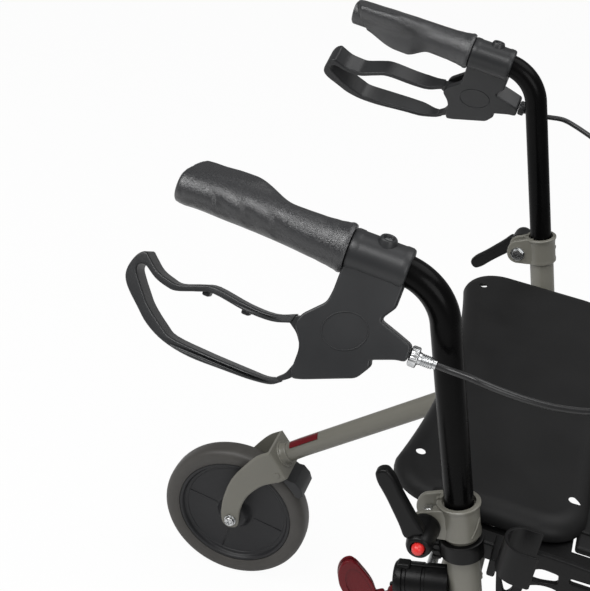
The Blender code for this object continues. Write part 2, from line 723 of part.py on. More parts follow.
HOUSING = (
    (0.0672, 0.0080), (0.0672, 0.0300), (0.0685, 0.0387), (0.0815, 0.0523), (0.0840, 0.0600),
    (0.0775, 0.0690), (0.0750, 0.0760), (0.0750, 0.0909), (0.0729, 0.0964), (0.0657, 0.0944),
    (0.0316, 0.0802), (0.0253, 0.0699), (0.0271, 0.0651), (0.0108, 0.0587), (0.0040, 0.0579),
    (0.0040, 0.0465), (0.0150, 0.0425), (0.0305, 0.0375), (0.0266, 0.0313), (0.0236, 0.0270),
    (0.0235, 0.0080),
)
TANG = (
    (0.0440, 0.0440), (0.0489, 0.0425), (0.0620, 0.0450), (0.0800, 0.0540), (0.0900, 0.0570),
    (0.0890, 0.0610), (0.0810, 0.0665), (0.0760, 0.0740), (0.0745, 0.0845), (0.0785, 0.0955),
    (0.0840, 0.1005), (0.0830, 0.1040), (0.0740, 0.0975), (0.0660, 0.0860), (0.0560, 0.0700),
    (0.0440, 0.0590), (0.0405, 0.0510),
)
LOOP = (
    (0.0850, 0.0545), (0.0995, 0.0601), (0.1187, 0.0603), (0.1441, 0.0572), (0.1561, 0.0599), (0.1706, 0.0649),
    (0.1790, 0.0640), (0.1884, 0.0612), (0.1970, 0.0549), (0.2015, 0.0520), (0.2068, 0.0561), (0.2102, 0.0646),
    (0.2102, 0.0727), (0.2052, 0.0804), (0.1940, 0.0900), (0.1825, 0.0991), (0.1668, 0.1059), (0.1459, 0.1091),
    (0.1200, 0.1086), (0.0976, 0.1078), (0.0854, 0.1062), (0.0790, 0.1020), (0.0840, 0.1010), (0.0900, 0.1026),
    (0.1000, 0.1030), (0.1200, 0.1028), (0.1366, 0.1025), (0.1617, 0.1012), (0.1717, 0.0965), (0.1853, 0.0872),
    (0.1925, 0.0798), (0.1997, 0.0716), (0.2036, 0.0660), (0.2025, 0.0615), (0.1980, 0.0612), (0.1884, 0.0668),
    (0.1790, 0.0695), (0.1706, 0.0699), (0.1561, 0.0649), (0.1441, 0.0620), (0.1187, 0.0652), (0.0995, 0.0650),
    (0.0870, 0.0615),
)


# The palm wing: along the grip as a share of its end's distance, and outward as a share of the grip's radius
WING = (
    (0.655, 0.560), (0.705, 1.180), (0.775, 1.500), (0.840, 1.570), (0.930, 1.540), (0.975, 1.320), (0.990, 0.600),
    (0.970, 0.200),
)


def handles():
    tube_tip = in_grip(GRIP_END - GRIP_END_WALL, 0.0)
    path = bent((post_point(-HANDLE_INSERT), GRIP_CORNER, tube_tip), HANDLE_BEND_RADIUS, 8)
    place_pair("handle_tube", curve_mesh(path, HANDLE_TUBE_RADIUS, 5), "black_tube", post_point(0.0))

    bore = HANDLE_TUBE_RADIUS + GAP
    length = GRIP_END - GRIP_START
    tube_end = GRIP_END - GRIP_END_WALL
    grip = turned_mesh(
        [
            (0.0, GRIP_END),
            (GRIP_RADIUS * 0.72, GRIP_END),
            (GRIP_RADIUS * 0.965, GRIP_END - length * 0.02),
            (GRIP_RADIUS * 1.035, GRIP_END - length * 0.095),
            (GRIP_RADIUS * 0.965, GRIP_END - length * 0.356),
            (GRIP_RADIUS * 0.915, GRIP_START + length * 0.237),
            (GRIP_RADIUS, GRIP_START + length * 0.047),
            (GRIP_FLANGE_RADIUS, GRIP_START + length * 0.028),
            (GRIP_FLANGE_RADIUS, GRIP_START),
            (bore, GRIP_START),
            (bore, tube_end + GAP),
            (0.0, tube_end + GAP),
        ],
        grip_axis_frame(),
        20,
    )
    wing = plate_mesh(
        scaled(WING, GRIP_END, GRIP_RADIUS), GRIP_RADIUS * 0.21, grip_plane() @ Matrix.Rotation(WING_TURN, 4, "X")
    )
    tunnel = rod_mesh(in_grip(GRIP_START - 0.01, 0), in_grip(GRIP_END - 0.0037, 0), bore, 20)
    place_pair("grip", joined(grip, cut(wing, tunnel)), "grip_rubber", post_point(0.0))

    block = plate_mesh(HOUSING, HOUSING_HALF_WIDTH, grip_plane())
    collar = rod_mesh(in_grip(0.024, 0), in_grip(GRIP_START - GAP, 0), HOUSING_COLLAR_RADIUS, 24)
    boss = rod_mesh(in_grip(0.044, 0), in_grip(0.044, 0) + GRIP_UP * 0.0185, 0.0055, 12)
    slot = plate_mesh(
        ((0.0330, 0.0370), (0.110, 0.0370), (0.110, 0.120), (0.0500, 0.120), (0.0330, 0.0650)),
        TANG_HALF_WIDTH + 0.0005,
        grip_plane(),
    )
    tube_room = curve_mesh(path, bore, 5)
    pin_start = in_grip(*LEVER_PIN, HOUSING_HALF_WIDTH + 0.005)
    pin_end = in_grip(*LEVER_PIN, -HOUSING_HALF_WIDTH - 0.005)
    pin_hole = rod_mesh(pin_start, pin_end, LEVER_PIN_RADIUS + GAP, 12)
    housing = cut(joined(block, collar, boss), tube_room, slot, pin_hole)
    place_pair("brake_housing", housing, "black_plastic", post_point(0.0))

    pin = rod_mesh(
        in_grip(*LEVER_PIN, HOUSING_HALF_WIDTH - 0.0002),
        in_grip(*LEVER_PIN, -HOUSING_HALF_WIDTH + 0.0002),
        LEVER_PIN_RADIUS,
        12,
    )
    place_pair("lever_pin", pin, "zinc", in_grip(*LEVER_PIN))

    adjuster = turned_mesh(
        [
            (0.0, 0.0),
            (0.0068, 0.0),
            (0.0072, -0.001),
            (0.0072, -0.006),
            (0.0045, -0.0065),
            (0.0042, -0.016),
            (0.0033, -0.0165),
            (0.0033, -ADJUSTER_LENGTH),
            (0.0, -ADJUSTER_LENGTH),
        ],
        Matrix.Translation(in_grip(0.0040 - GAP, CABLE_DROP)) @ grip_axis_frame().to_3x3().to_4x4(),
        12,
    )
    place_pair("cable_adjuster", adjuster, "zinc", post_point(0.0))


def grip_axis_frame():
    """Matrix whose Z runs back along the grip."""
    axes = Matrix((Vector((1, 0, 0)), GRIP_UP, GRIP_ALONG)).transposed()
    axes.col[1] = axes.col[2].cross(axes.col[0])
    return Matrix.Translation(GRIP_CORNER) @ axes.to_4x4()


def levers():
    flat = Matrix()
    loop = plate_mesh(LOOP, LOOP_HALF_WIDTH, flat)
    tip = LOOP[12][0]
    root = LOOP[0][0]
    for corner in loop.vertices:
        share = max(0.0, (corner.co.x - root) / (tip - root))
        corner.co.z -= LOOP_TIP_BEND * share**2
    tang = plate_mesh(TANG, TANG_HALF_WIDTH, flat)
    hole = rod_mesh((*LEVER_PIN, -0.02), (*LEVER_PIN, 0.02), LEVER_PIN_RADIUS + GAP, 12)
    lever = cut(joined(loop, tang), hole)
    lever.transform(grip_plane())
    place_pair("brake_lever", lever, "black_plastic", in_grip(*LEVER_PIN))


# Out from the post, back and up from the clamp: forward past the tube, down in front of the hinge tube, back to the leg
CABLE_ROUTE = (
    (-0.0265, 0.0178, 0.1250), (-0.0272, 0.0100, 0.1243), (-0.0255, 0.0000, 0.1221), (-0.0228, -0.0100, 0.1196),
    (-0.0194, -0.0200, 0.1170), (-0.0150, -0.0300, 0.1143), (-0.0098, -0.0400, 0.1116), (-0.0034, -0.0500, 0.1090),
    (0.0040, -0.0600, 0.1064), (0.0126, -0.0700, 0.1039), (0.0215, -0.0800, 0.1012), (0.0280, -0.0940, 0.0975),
    (0.0300, -0.1120, 0.0920), (0.0305, -0.1380, 0.0815), (0.0305, -0.1640, 0.0640), (0.0300, -0.1870, 0.0390),
    (0.0290, -0.2050, 0.0060), (0.0280, -0.2140, -0.0300), (0.0265, -0.2155, -0.0680), (0.0240, -0.2100, -0.1050),
    (0.0205, -0.1980, -0.1400), (0.0160, -0.1810, -0.1730), (0.0105, -0.1640, -0.2020),
)


def cables():
    exit_point = in_grip(0.0040 - GAP - ADJUSTER_LENGTH - GAP, CABLE_DROP)
    onward = exit_point - GRIP_ALONG * 0.010
    clamp = Vector((-POST_HALF_SPACING, CLAMP_Y, CLAMP_HEIGHT))
    route = [clamp + Vector(step) for step in CABLE_ROUTE]
    down_leg = (LEG_FOOT - BEND).normalized()
    square = Vector((0.0, down_leg.z, -down_leg.y))
    inlet = BEND + down_leg * INLET_BELOW_BEND + square * (LEG_TUBE_RADIUS + GAP)
    path = smooth_route((exit_point, onward, *route, inlet + square * 0.007), 0.012)
    path.append(inlet)
    place_pair("brake_cable", curve_mesh(path, CABLE_RADIUS, 2), "cable_sleeve")


def clamps():
    frame = POST_FRAME
    seat_on_post = LEG_TUBE_RADIUS + GAP
    ring = rod_mesh((0, 0, COLLAR_TOP - COLLAR_LENGTH), (0, 0, COLLAR_TOP), COLLAR_RADIUS, 24)
    ears = box_mesh((-0.012, 0.006, -0.0270), (0.012, 0.0305, COLLAR_TOP - 0.002), 0.002)
    bore = rod_mesh((0, 0, -0.05), (0, 0, 0.02), seat_on_post, 24)
    slit = box_mesh((-0.0012, 0.005, -0.05), (0.0012, 0.04, 0.02))
    screw_hole = rod_mesh(
        (-0.03, CLAMP_SCREW_BACK, -CLAMP_SCREW_DROP),
        (0.03, CLAMP_SCREW_BACK, -CLAMP_SCREW_DROP),
        CLAMP_SCREW_RADIUS + GAP,
        12,
    )
    collar = cut(joined(ring, ears), bore, slit, screw_hole)
    collar.transform(frame)
    place_pair("clamp_collar", collar, "taupe_paint", post_point(0.0))

    at = post_point(-CLAMP_SCREW_DROP, CLAMP_SCREW_BACK)
    inner_face = POST_HALF_SPACING - 0.012 - GAP
    hub_in = POST_HALF_SPACING + 0.012 + GAP
    hub_out = hub_in + CLAMP_HUB_LENGTH
    pocket = hub_out - 0.010
    bolt = x_turned(
        [
            (CLAMP_SCREW_RADIUS, pocket - 0.004),
            (CLAMP_SCREW_RADIUS, inner_face),
            (0.0062, inner_face),
            (0.0062, inner_face - 0.005),
        ],
        at.y,
        at.z,
        12,
    )
    place_pair("clamp_bolt", bolt, "zinc")

    hub = x_turned(
        [
            (0.0085, hub_out),
            (CLAMP_HUB_RADIUS, hub_out - 0.003),
            (CLAMP_HUB_RADIUS, hub_in),
        ],
        0.0,
        0.0,
        20,
    )
    arm = plate_mesh(
        (
            (0.0, -0.0095), (0.020, -0.0070), (0.045, -0.0062), (0.060, -0.0068), (0.066, -0.0045),
            (CLAMP_ARM_LENGTH, 0.0), (0.066, 0.0045), (0.060, 0.0068), (0.045, 0.0062), (0.020, 0.0070), (0.0, 0.0095),
        ),
        0.0045,
        yz_plane(-hub_out + 0.0075, 0.0, 0.0),
    )
    shaft_room = x_turned(
        [(CLAMP_SCREW_RADIUS + GAP, pocket - 0.004 + GAP), (CLAMP_SCREW_RADIUS + GAP, hub_in - 0.01)], 0.0, 0.0, 12
    )
    button_room = x_turned([(BUTTON_RADIUS + GAP, hub_out + 0.01), (BUTTON_RADIUS + GAP, pocket)], 0.0, 0.0, 16)
    lever = cut(joined(hub, arm), shaft_room, button_room)
    place_turned_pair("clamp_lever", lever, "black_plastic", at)

    button = x_turned(
        [
            (0.0025, hub_out + 0.0048),
            (0.0042, hub_out + 0.0030),
            (BUTTON_RADIUS, hub_out + 0.0005),
            (BUTTON_RADIUS, pocket + 0.004),
        ],
        0.0,
        0.0,
        16,
    )
    place_turned_pair("clamp_button", button, "red_plastic", at)


def place_turned_pair(name, mesh, finish, at):
    """A pair modelled about the line y = z = 0, turned to the angle that each side's arm has."""
    for side, sign in SIDES.items():
        shape = mesh if sign < 0 else mirrored(mesh)
        matrix = Matrix.Translation((0.0, at.y, at.z)) @ Matrix.Rotation(CLAMP_ARM_ANGLES[side], 4, "X")
        shape = shape.copy()
        origin = Vector((sign * POST_HALF_SPACING, 0.0, 0.0))
        shape.transform(Matrix.Translation(-origin))
        new_object(f"{name}_{side}", shape, matrix @ Matrix.Translation(origin), finish)


def seat_outline():
    """Rounded corners, and a shallow hollow along the rear edge."""
    half = SEAT_HALF_WIDTH
    back = SEAT_BACK
    front = SEAT_FRONT
    corner = SEAT_CORNER
    points = []
    turns = (
        (half - corner, front + corner, -90), (half - corner, back - corner, 0),
        (-half + corner, back - corner, 90), (-half + corner, front + corner, 180),
    )
    for x, y, start in turns:
        for step in range(6):
            angle = math.radians(start + 18 * step)
            points.append((x + corner * math.cos(angle), y + corner * math.sin(angle)))
        if start == 0:
            for step in range(1, 8):
                across = (half - corner) * (1 - step / 4)
                points.append((across, back - 0.014 * (1 - (across / (half - corner)) ** 2)))
    return points


def seat():
    """A blow-moulded panel, solid here, with pads on the rest tube, hooks on the hinge tube and a lug for the lock."""
    middle = SEAT_TOP - SEAT_DEPTH / 2
    panel = plate_mesh(seat_outline(), SEAT_DEPTH / 2, Matrix.Translation((0.0, CLAMP_Y, middle)))
    soften(panel, 0.0025, SEAT_TOP)
    holes = []
    for x in (-SEAT_HOLE_X, SEAT_HOLE_X):
        for y in (SEAT_HOLE_BACK, SEAT_HOLE_FRONT):
            spot = Vector((x, CLAMP_Y + y, SEAT_TOP))
            holes.append(rod_mesh(spot - Vector((0, 0, 0.03)), spot + Vector((0, 0, 0.03)), SEAT_HOLE_RADIUS, 12))
    pads = []
    rest_top = SEAT_TUBE_AT.z + CROSS_TUBE_RADIUS + GAP
    for x in (-SEAT_REST_X, SEAT_REST_X):
        low = (x - 0.014, SEAT_TUBE_AT.y - 0.012, rest_top)
        high = (x + 0.014, SEAT_TUBE_AT.y + 0.012, middle)
        pads.append(box_mesh(low, high))
    bolt = post_point(-LOCK_DROP, LOCK_BOLT_BACK)
    lug = box_mesh(
        (SEAT_LUG_OUTER_X, bolt.y - 0.011, bolt.z - 0.010),
        (SEAT_LUG_OUTER_X + SEAT_LUG_THICKNESS, bolt.y + 0.011, middle),
    )
    bolt_hole = rod_mesh(bolt, bolt + Vector((0.08, 0, 0)), LOCK_BOLT_RADIUS + GAP, 16)
    hooks = []
    tubes = []
    for x in (-BRACKET_X, BRACKET_X):
        reach = Vector((BRACKET_WIDTH / 2, 0.0, 0.0))
        centre = Vector((x, HINGE_AT.y, HINGE_AT.z))
        hooks.append(rod_mesh(centre - reach, centre + reach, CROSS_TUBE_RADIUS + 0.004, 20))
        under = SEAT_TOP - SEAT_DEPTH
        front = CLAMP_Y + SEAT_FRONT
        hooks.append(box_mesh((x - 0.013, HINGE_AT.y, under - 0.006), (x + 0.013, front + 0.040, under + 0.003)))
        tubes.append(rod_mesh(centre - 2 * reach, centre + 2 * reach, CROSS_TUBE_RADIUS + GAP, 20))
        mouth = CROSS_TUBE_RADIUS * 0.8
        tubes.append(
            box_mesh(
                (x - BRACKET_WIDTH, HINGE_AT.y - mouth, HINGE_AT.z - 0.030),
                (x + BRACKET_WIDTH, HINGE_AT.y + mouth, HINGE_AT.z),
            )
        )
    reach = SEAT_HALF_WIDTH - SEAT_FLANGE_INSET
    behind_tube = HINGE_AT.y + CROSS_TUBE_RADIUS + 0.005
    flange = box_mesh((-reach, behind_tube, under - 0.005), (reach, front + 0.0405, under + 0.002), 0.001)
    whole = cut(joined(panel, *pads, lug, flange, *hooks), *tubes, *holes, bolt_hole)
    place("seat", whole, "seat_plastic", HINGE_AT)


def soften(mesh, width, height):
    """Rounds the edges of a plate that lie at the given height."""
    form = bmesh.new()
    form.from_mesh(mesh)
    bmesh.ops.dissolve_limit(form, angle_limit=0.001, verts=form.verts, edges=form.edges)
    rim = [edge for edge in form.edges if all(abs(v.co.z - height) < 1e-5 for v in edge.verts)]
    rim = [edge for edge in rim if any(abs(face.normal.z) < 0.5 for face in edge.link_faces)]
    bmesh.ops.bevel(form, geom=rim, offset=width, segments=2, affect="EDGES", profile=0.5)
    bmesh.ops.triangulate(form, faces=form.faces)
    form.to_mesh(mesh)
    form.free()


def side_rack():
    seat_on_post = LEG_TUBE_RADIUS + GAP
    outside = seat_on_post + RACK_WALL
    low = RACK_RING_TOP - RACK_RING_HEIGHT
    ring = rod_mesh((0, 0, low), (0, 0, RACK_RING_TOP), outside, 24)
    lug = box_mesh((-0.0075, 0.014, low - 0.004), (0.0075, 0.0300, RACK_RING_TOP))
    ring.transform(POST_FRAME)
    lug.transform(POST_FRAME)
    room = rod_mesh(post_point(-0.12), post_point(0.05), seat_on_post, 24)

    folded = Vector((-REAR_LEG_X, PIVOT.y - 0.0026, 0.0))
    inside = LEG_TUBE_RADIUS + GAP
    outer = inside + CLIP_WALL
    top = Vector((folded.x, folded.y, CLIP_TOP))
    bottom = Vector((folded.x, folded.y, CLIP_BOTTOM))
    clip = rod_mesh(bottom, top, outer, 24)
    cheeks = box_mesh(
        (folded.x - outer + 0.0002, folded.y - 0.011, CLIP_BOTTOM), (folded.x + outer - 0.0002, folded.y, CLIP_TOP)
    )
    mouth = box_mesh(
        (folded.x - inside + 0.0001, folded.y - 0.05, CLIP_BOTTOM - 0.07),
        (folded.x + inside - 0.0001, folded.y, CLIP_TOP + 0.07),
    )
    throat = rod_mesh(bottom - Vector((0, 0, 0.07)), top + Vector((0, 0, 0.07)), inside, 24)
    plate_x = -POST_HALF_SPACING
    half = LATTICE_HALF_THICKNESS
    web = box_mesh(
        (folded.x, folded.y + inside + 0.0006, CLIP_BOTTOM + 0.001),
        (plate_x, folded.y + inside + 0.0066, CLIP_TOP - 0.002),
    )
    arm = box_mesh(
        (plate_x - 0.006, folded.y + 0.004, CLIP_BOTTOM - 0.0330),
        (plate_x + 0.006, CLAMP_Y - 0.012, CLIP_BOTTOM - 0.0180),
    )
    tie = box_mesh(
        (plate_x - half - 0.0005, folded.y + 0.006, CLIP_BOTTOM - 0.030),
        (plate_x + half + 0.0005, folded.y + 0.0186, CLIP_TOP - 0.004),
    )
    lattice = plate_mesh(RACK_OUTLINE, half, yz_plane(plate_x, CLAMP_Y, CLAMP_HEIGHT), RACK_OPENINGS)
    rack = cut(joined(clip, cheeks, web, tie, arm, ring, lug, lattice), room, mouth, throat)
    place("side_rack", rack, "black_plastic")


RACK_OUTLINE = (
    (-0.0300, -0.0210), (-0.0670, -0.0190), (-0.1130, -0.0190), (-0.1160, -0.0230), (-0.1250, -0.0640),
    (-0.1300, -0.0990), (-0.1180, -0.1050), (-0.0820, -0.1100), (-0.0420, -0.1040), (-0.0340, -0.0840),
)
RACK_OPENINGS = (
    ((-0.0710, -0.0320), (-0.1080, -0.0290), (-0.1110, -0.0380), (-0.0760, -0.0440)),
    ((-0.0400, -0.0400), (-0.0600, -0.0490), (-0.0590, -0.0740), (-0.0480, -0.0920)),
    ((-0.0700, -0.0520), (-0.1130, -0.0460), (-0.1190, -0.0780), (-0.0690, -0.0820)),
    ((-0.0640, -0.0890), (-0.1200, -0.0860), (-0.1160, -0.0990), (-0.0820, -0.1040)),
)


PADDLE = (
    (0.0010, 0.0040), (0.0100, 0.0005), (0.0129, 0.0041), (0.0175, 0.0138), (0.0238, 0.0221), (0.0338, 0.0333),
    (0.0395, 0.0368), (0.0440, 0.0350), (0.0467, 0.0305), (0.0474, 0.0255), (0.0469, 0.0200), (0.0444, 0.0110),
    (0.0389, 0.0018), (0.0310, -0.0075), (0.0200, -0.0120), (0.0090, -0.0105), (-0.0010, -0.0040),
)


def lock():
    start = LEG_TUBE_RADIUS + GAP
    at = Matrix.Translation((0, 0, -LOCK_DROP))
    face = LOCK_LENGTH
    barrel = rod_mesh((0, CROSS_TUBE_RADIUS + 2 * GAP, -LOCK_DROP), (0, face - 0.004, -LOCK_DROP), LOCK_RADIUS, 20)
    plate = box_mesh((-0.013, face - 0.0045, -0.0185), (0.013, face, 0.0145), 0.001)
    plate.transform(at)
    bump = rod_mesh((0, face - 0.009, -LOCK_DROP + 0.013), (0, face - 0.001, -LOCK_DROP + 0.013), 0.0035, 10)
    ears = []
    for x in (-0.0125, 0.0085):
        low = (x, face - 0.002, -LOCK_DROP - LOCK_PIN_BELOW - 0.005)
        high = (x + 0.004, face + 0.009, -LOCK_DROP - LOCK_PIN_BELOW + 0.005)
        ears.append(box_mesh(low, high))
    leg_room = rod_mesh((0, 0, -0.2), (0, 0, 0.2), start, 24)
    bolt_room = rod_mesh(
        (-0.0105, LOCK_BOLT_BACK, -LOCK_DROP), (0.05, LOCK_BOLT_BACK, -LOCK_DROP), LOCK_BOLT_RADIUS + GAP, 16
    )
    pin_y = face + 0.0055
    pin_z = -LOCK_DROP - LOCK_PIN_BELOW
    pin_hole = rod_mesh((-0.03, pin_y, pin_z), (0.03, pin_y, pin_z), LOCK_PIN_RADIUS + GAP, 10)
    housing = cut(joined(barrel, plate, bump, *ears), leg_room, bolt_room, pin_hole)
    housing.transform(POST_FRAME)
    place("lock_housing", housing, "black_plastic")

    pin = rod_mesh((-0.013, pin_y, pin_z), (0.013, pin_y, pin_z), LOCK_PIN_RADIUS, 10)
    pin.transform(POST_FRAME)
    place("lock_pin", pin, "zinc")

    bolt = post_point(-LOCK_DROP, LOCK_BOLT_BACK)
    reach = SEAT_LUG_OUTER_X + SEAT_LUG_THICKNESS
    rod = rod_mesh(bolt, (reach, bolt.y, bolt.z), LOCK_BOLT_RADIUS, 16)
    place("lock_bolt", rod, "zinc", bolt)

    hinge = POST_FRAME @ Vector((0.0, pin_y, pin_z))
    turned = Matrix.Translation(hinge) @ Matrix.Rotation(PADDLE_TURN, 4, "Z") @ yz_plane(0.0, 0.0, 0.0)
    blade = plate_mesh(PADDLE, PADDLE_HALF_THICKNESS, turned)
    half = Vector((PADDLE_BARREL_HALF_WIDTH, 0, 0))
    barrel = rod_mesh(hinge - half, hinge + half, PADDLE_BARREL_RADIUS, 16)
    room = rod_mesh(hinge - 3 * half, hinge + 3 * half, LOCK_PIN_RADIUS + GAP, 10)
    place("lock_lever", cut(joined(blade, barrel), room), "red_plastic", hinge)


def basket():
    """An open crate on the front cross tube, held by two lugs that lie over the front legs."""
    bottom = FRONT_TUBE_AT.z + CROSS_TUBE_RADIUS + GAP
    front, back = CLAMP_Y + BASKET_FRONT, CLAMP_Y + BASKET_BACK
    taper = 0.018

    def crate(inset, low, high):
        def build(form):
            bmesh.ops.create_cube(form, size=1.0)
            for corner in form.verts:
                upper = corner.co.z > 0
                draw = inset if upper else inset + taper
                corner.co.x = math.copysign(BASKET_HALF_WIDTH - draw, corner.co.x)
                corner.co.y = back - draw if corner.co.y > 0 else front + draw
                corner.co.z = high if upper else low
            upright = [edge for edge in form.edges if abs(edge.verts[0].co.z - edge.verts[1].co.z) > 0.05]
            bmesh.ops.bevel(form, geom=upright, offset=0.020, segments=3, affect="EDGES", profile=0.5)

        return mesh_from("crate", build)

    top = bottom + BASKET_DEPTH
    shell = crate(0.0, bottom, top)
    room = crate(BASKET_WALL, bottom + BASKET_WALL, top + 0.02)
    slots = [slot_tools(axis, front, back, bottom) for axis in ("x", "y", "z")]
    slope = (BEND.z - LEG_FOOT.z) / (BEND.y - LEG_FOOT.y)
    lug_y = back - 0.020
    rise = LEG_TUBE_RADIUS * math.sqrt(1 + slope**2) + GAP
    leg_top = LEG_FOOT.z + slope * (lug_y + 0.006 - SWIVEL_Y) + rise
    lugs = []
    for side in (-1, 1):
        inner, outer = sorted((side * (BASKET_HALF_WIDTH - taper), side * (POST_HALF_SPACING + 0.006)))
        lugs.append(box_mesh((inner, lug_y - 0.012, leg_top), (outer, lug_y + 0.006, leg_top + 0.006)))
    walls = cut(cut(shell, room), *slots)
    place("basket", joined(walls, *[cut(lug, room) for lug in lugs]), "black_plastic")


def slot_tools(axis, front, back, bottom):
    """Boxes that open a plain grid of slots through both walls across an axis, or through the floor."""
    span = back - front - 0.045 if axis == "x" else 2 * BASKET_HALF_WIDTH - 0.070
    count = math.floor(span / BASKET_SLOT_SPACING + 0.5)
    half = BASKET_SLOT_WIDTH / 2
    middle = (front + back) / 2
    past = 0.03

    def build(form):
        for row, (low, high) in enumerate(BASKET_SLOT_ROWS):
            for index in range(count):
                at = (index - (count - 1) / 2) * BASKET_SLOT_SPACING
                levels = bottom + low * BASKET_DEPTH, bottom + high * BASKET_DEPTH
                if axis == "x":
                    place_y = middle + at
                    least = Vector((-BASKET_HALF_WIDTH - past, place_y - half, levels[0]))
                    most = Vector((BASKET_HALF_WIDTH + past, place_y + half, levels[1]))
                elif axis == "y":
                    least = Vector((at - half, front - past, levels[0]))
                    most = Vector((at + half, back + past, levels[1]))
                else:
                    place_y = middle + (row - 0.5) * (back - front) * 0.376
                    reach = (back - front) * 0.145
                    least = Vector((at - half, place_y - reach, bottom - past))
                    most = Vector((at + half, place_y + reach, bottom + past / 2))
                size = Matrix.Diagonal((*(most - least), 1.0))
                bmesh.ops.create_cube(form, size=1.0, matrix=Matrix.Translation((least + most) / 2) @ size)

    return mesh_from("slots", build)


clear_scene()
front_frame()
pivot_bolts()
rear_frame()
forks()
wheels()
brakes()
handles()
levers()
cables()
clamps()
seat()
side_rack()
lock()
basket()
bpy.context.view_layer.update()
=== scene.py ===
import math

import bmesh
import bpy
from mathutils import Matrix, Vector


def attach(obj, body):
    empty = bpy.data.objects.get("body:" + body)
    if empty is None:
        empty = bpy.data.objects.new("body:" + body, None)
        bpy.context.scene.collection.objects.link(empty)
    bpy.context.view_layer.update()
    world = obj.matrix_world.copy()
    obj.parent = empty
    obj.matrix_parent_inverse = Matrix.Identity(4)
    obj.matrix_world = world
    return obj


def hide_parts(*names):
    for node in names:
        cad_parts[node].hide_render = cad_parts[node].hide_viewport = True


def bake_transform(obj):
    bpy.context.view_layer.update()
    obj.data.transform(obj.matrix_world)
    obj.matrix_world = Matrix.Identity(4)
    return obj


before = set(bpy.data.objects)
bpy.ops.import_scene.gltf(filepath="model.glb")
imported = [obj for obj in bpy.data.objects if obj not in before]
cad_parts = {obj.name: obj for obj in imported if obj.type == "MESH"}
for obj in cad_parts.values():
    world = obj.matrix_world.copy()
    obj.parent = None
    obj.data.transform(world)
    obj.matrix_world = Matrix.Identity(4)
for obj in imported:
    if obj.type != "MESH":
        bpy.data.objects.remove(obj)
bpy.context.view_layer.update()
scene = bpy.context.scene
scene.view_settings.view_transform = "Standard"
print("frame loaded:", len(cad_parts), "nodes")

# the photograph's view: near handle on the left, frame running away to the upper right
view = {
    "place": (-0.9743, -0.02615, 1.2037),
    "right": (0.2941, -0.9416, 0.1642),
    "up": (0.4467, 0.2872, 0.8473),
    "back": (-0.8450, -0.1758, 0.5051),
    "lens": 75.06,
}
camera = bpy.data.cameras.new("camera")
camera.lens = view["lens"]
camera.sensor_width = 36.0
cameraObject = bpy.data.objects.new("camera", camera)
axes = Matrix((view["right"], view["up"], view["back"])).transposed().to_4x4()
cameraObject.matrix_world = Matrix.Translation(view["place"]) @ axes
scene.collection.objects.link(cameraObject)
scene.camera = cameraObject

# lamps: wide soft ones behind the user's right shoulder, in front and above, and one for the grips' sheen
lamps = {
    "key": {"place": (-1.1, 1.9, 2.6), "size": 1.8, "watts": 43.0},
    "fill": {"place": (-2.2, -1.6, 1.9), "size": 1.6, "watts": 22.0},
    "top": {"place": (0.5, -0.9, 2.9), "size": 2.0, "watts": 24.0},
    "sheen": {"place": (-1.35, 0.45, 2.45), "size": 0.8, "watts": 16.0},
}
room = {"light": 0.24, "shown": 1.0, "floorColour": (0.93, 0.93, 0.93), "floorGlow": 0.955, "floorHalf": 6.0}


def link(name, data):
    obj = bpy.data.objects.new(name, data)
    scene.collection.objects.link(obj)
    return obj


for name, lamp in lamps.items():
    light = bpy.data.lights.new(name, "AREA")
    light.shape = "DISK"
    light.size = lamp["size"]
    light.energy = lamp["watts"]
    lampObject = link(name, light)
    towards = Vector((0.0, 0.0, 0.45)) - Vector(lamp["place"])
    lampObject.matrix_world = Matrix.Translation(lamp["place"]) @ towards.to_track_quat("-Z", "Y").to_matrix().to_4x4()


# shader maths as plain expressions on sockets
class Flow:
    def __init__(self, nodes, socket):
        self.nodes = nodes
        self.socket = socket

    def maths(self, operation, first, second=0.0):
        return self.nodes.add("ShaderNodeMath", {"operation": operation}, {0: first, 1: second})

    def __add__(self, other):
        return self.maths("ADD", self, other)

    def __radd__(self, other):
        return self.maths("ADD", other, self)

    def __sub__(self, other):
        return self.maths("SUBTRACT", self, other)

    def __rsub__(self, other):
        return self.maths("SUBTRACT", other, self)

    def __mul__(self, other):
        return self.maths("MULTIPLY", self, other)

    def __rmul__(self, other):
        return self.maths("MULTIPLY", other, self)

    def clipped(self, low, high):
        settings = {"clamp": True}
        return self.nodes.add("ShaderNodeMapRange", settings, {"Value": self, "From Min": low, "From Max": high})


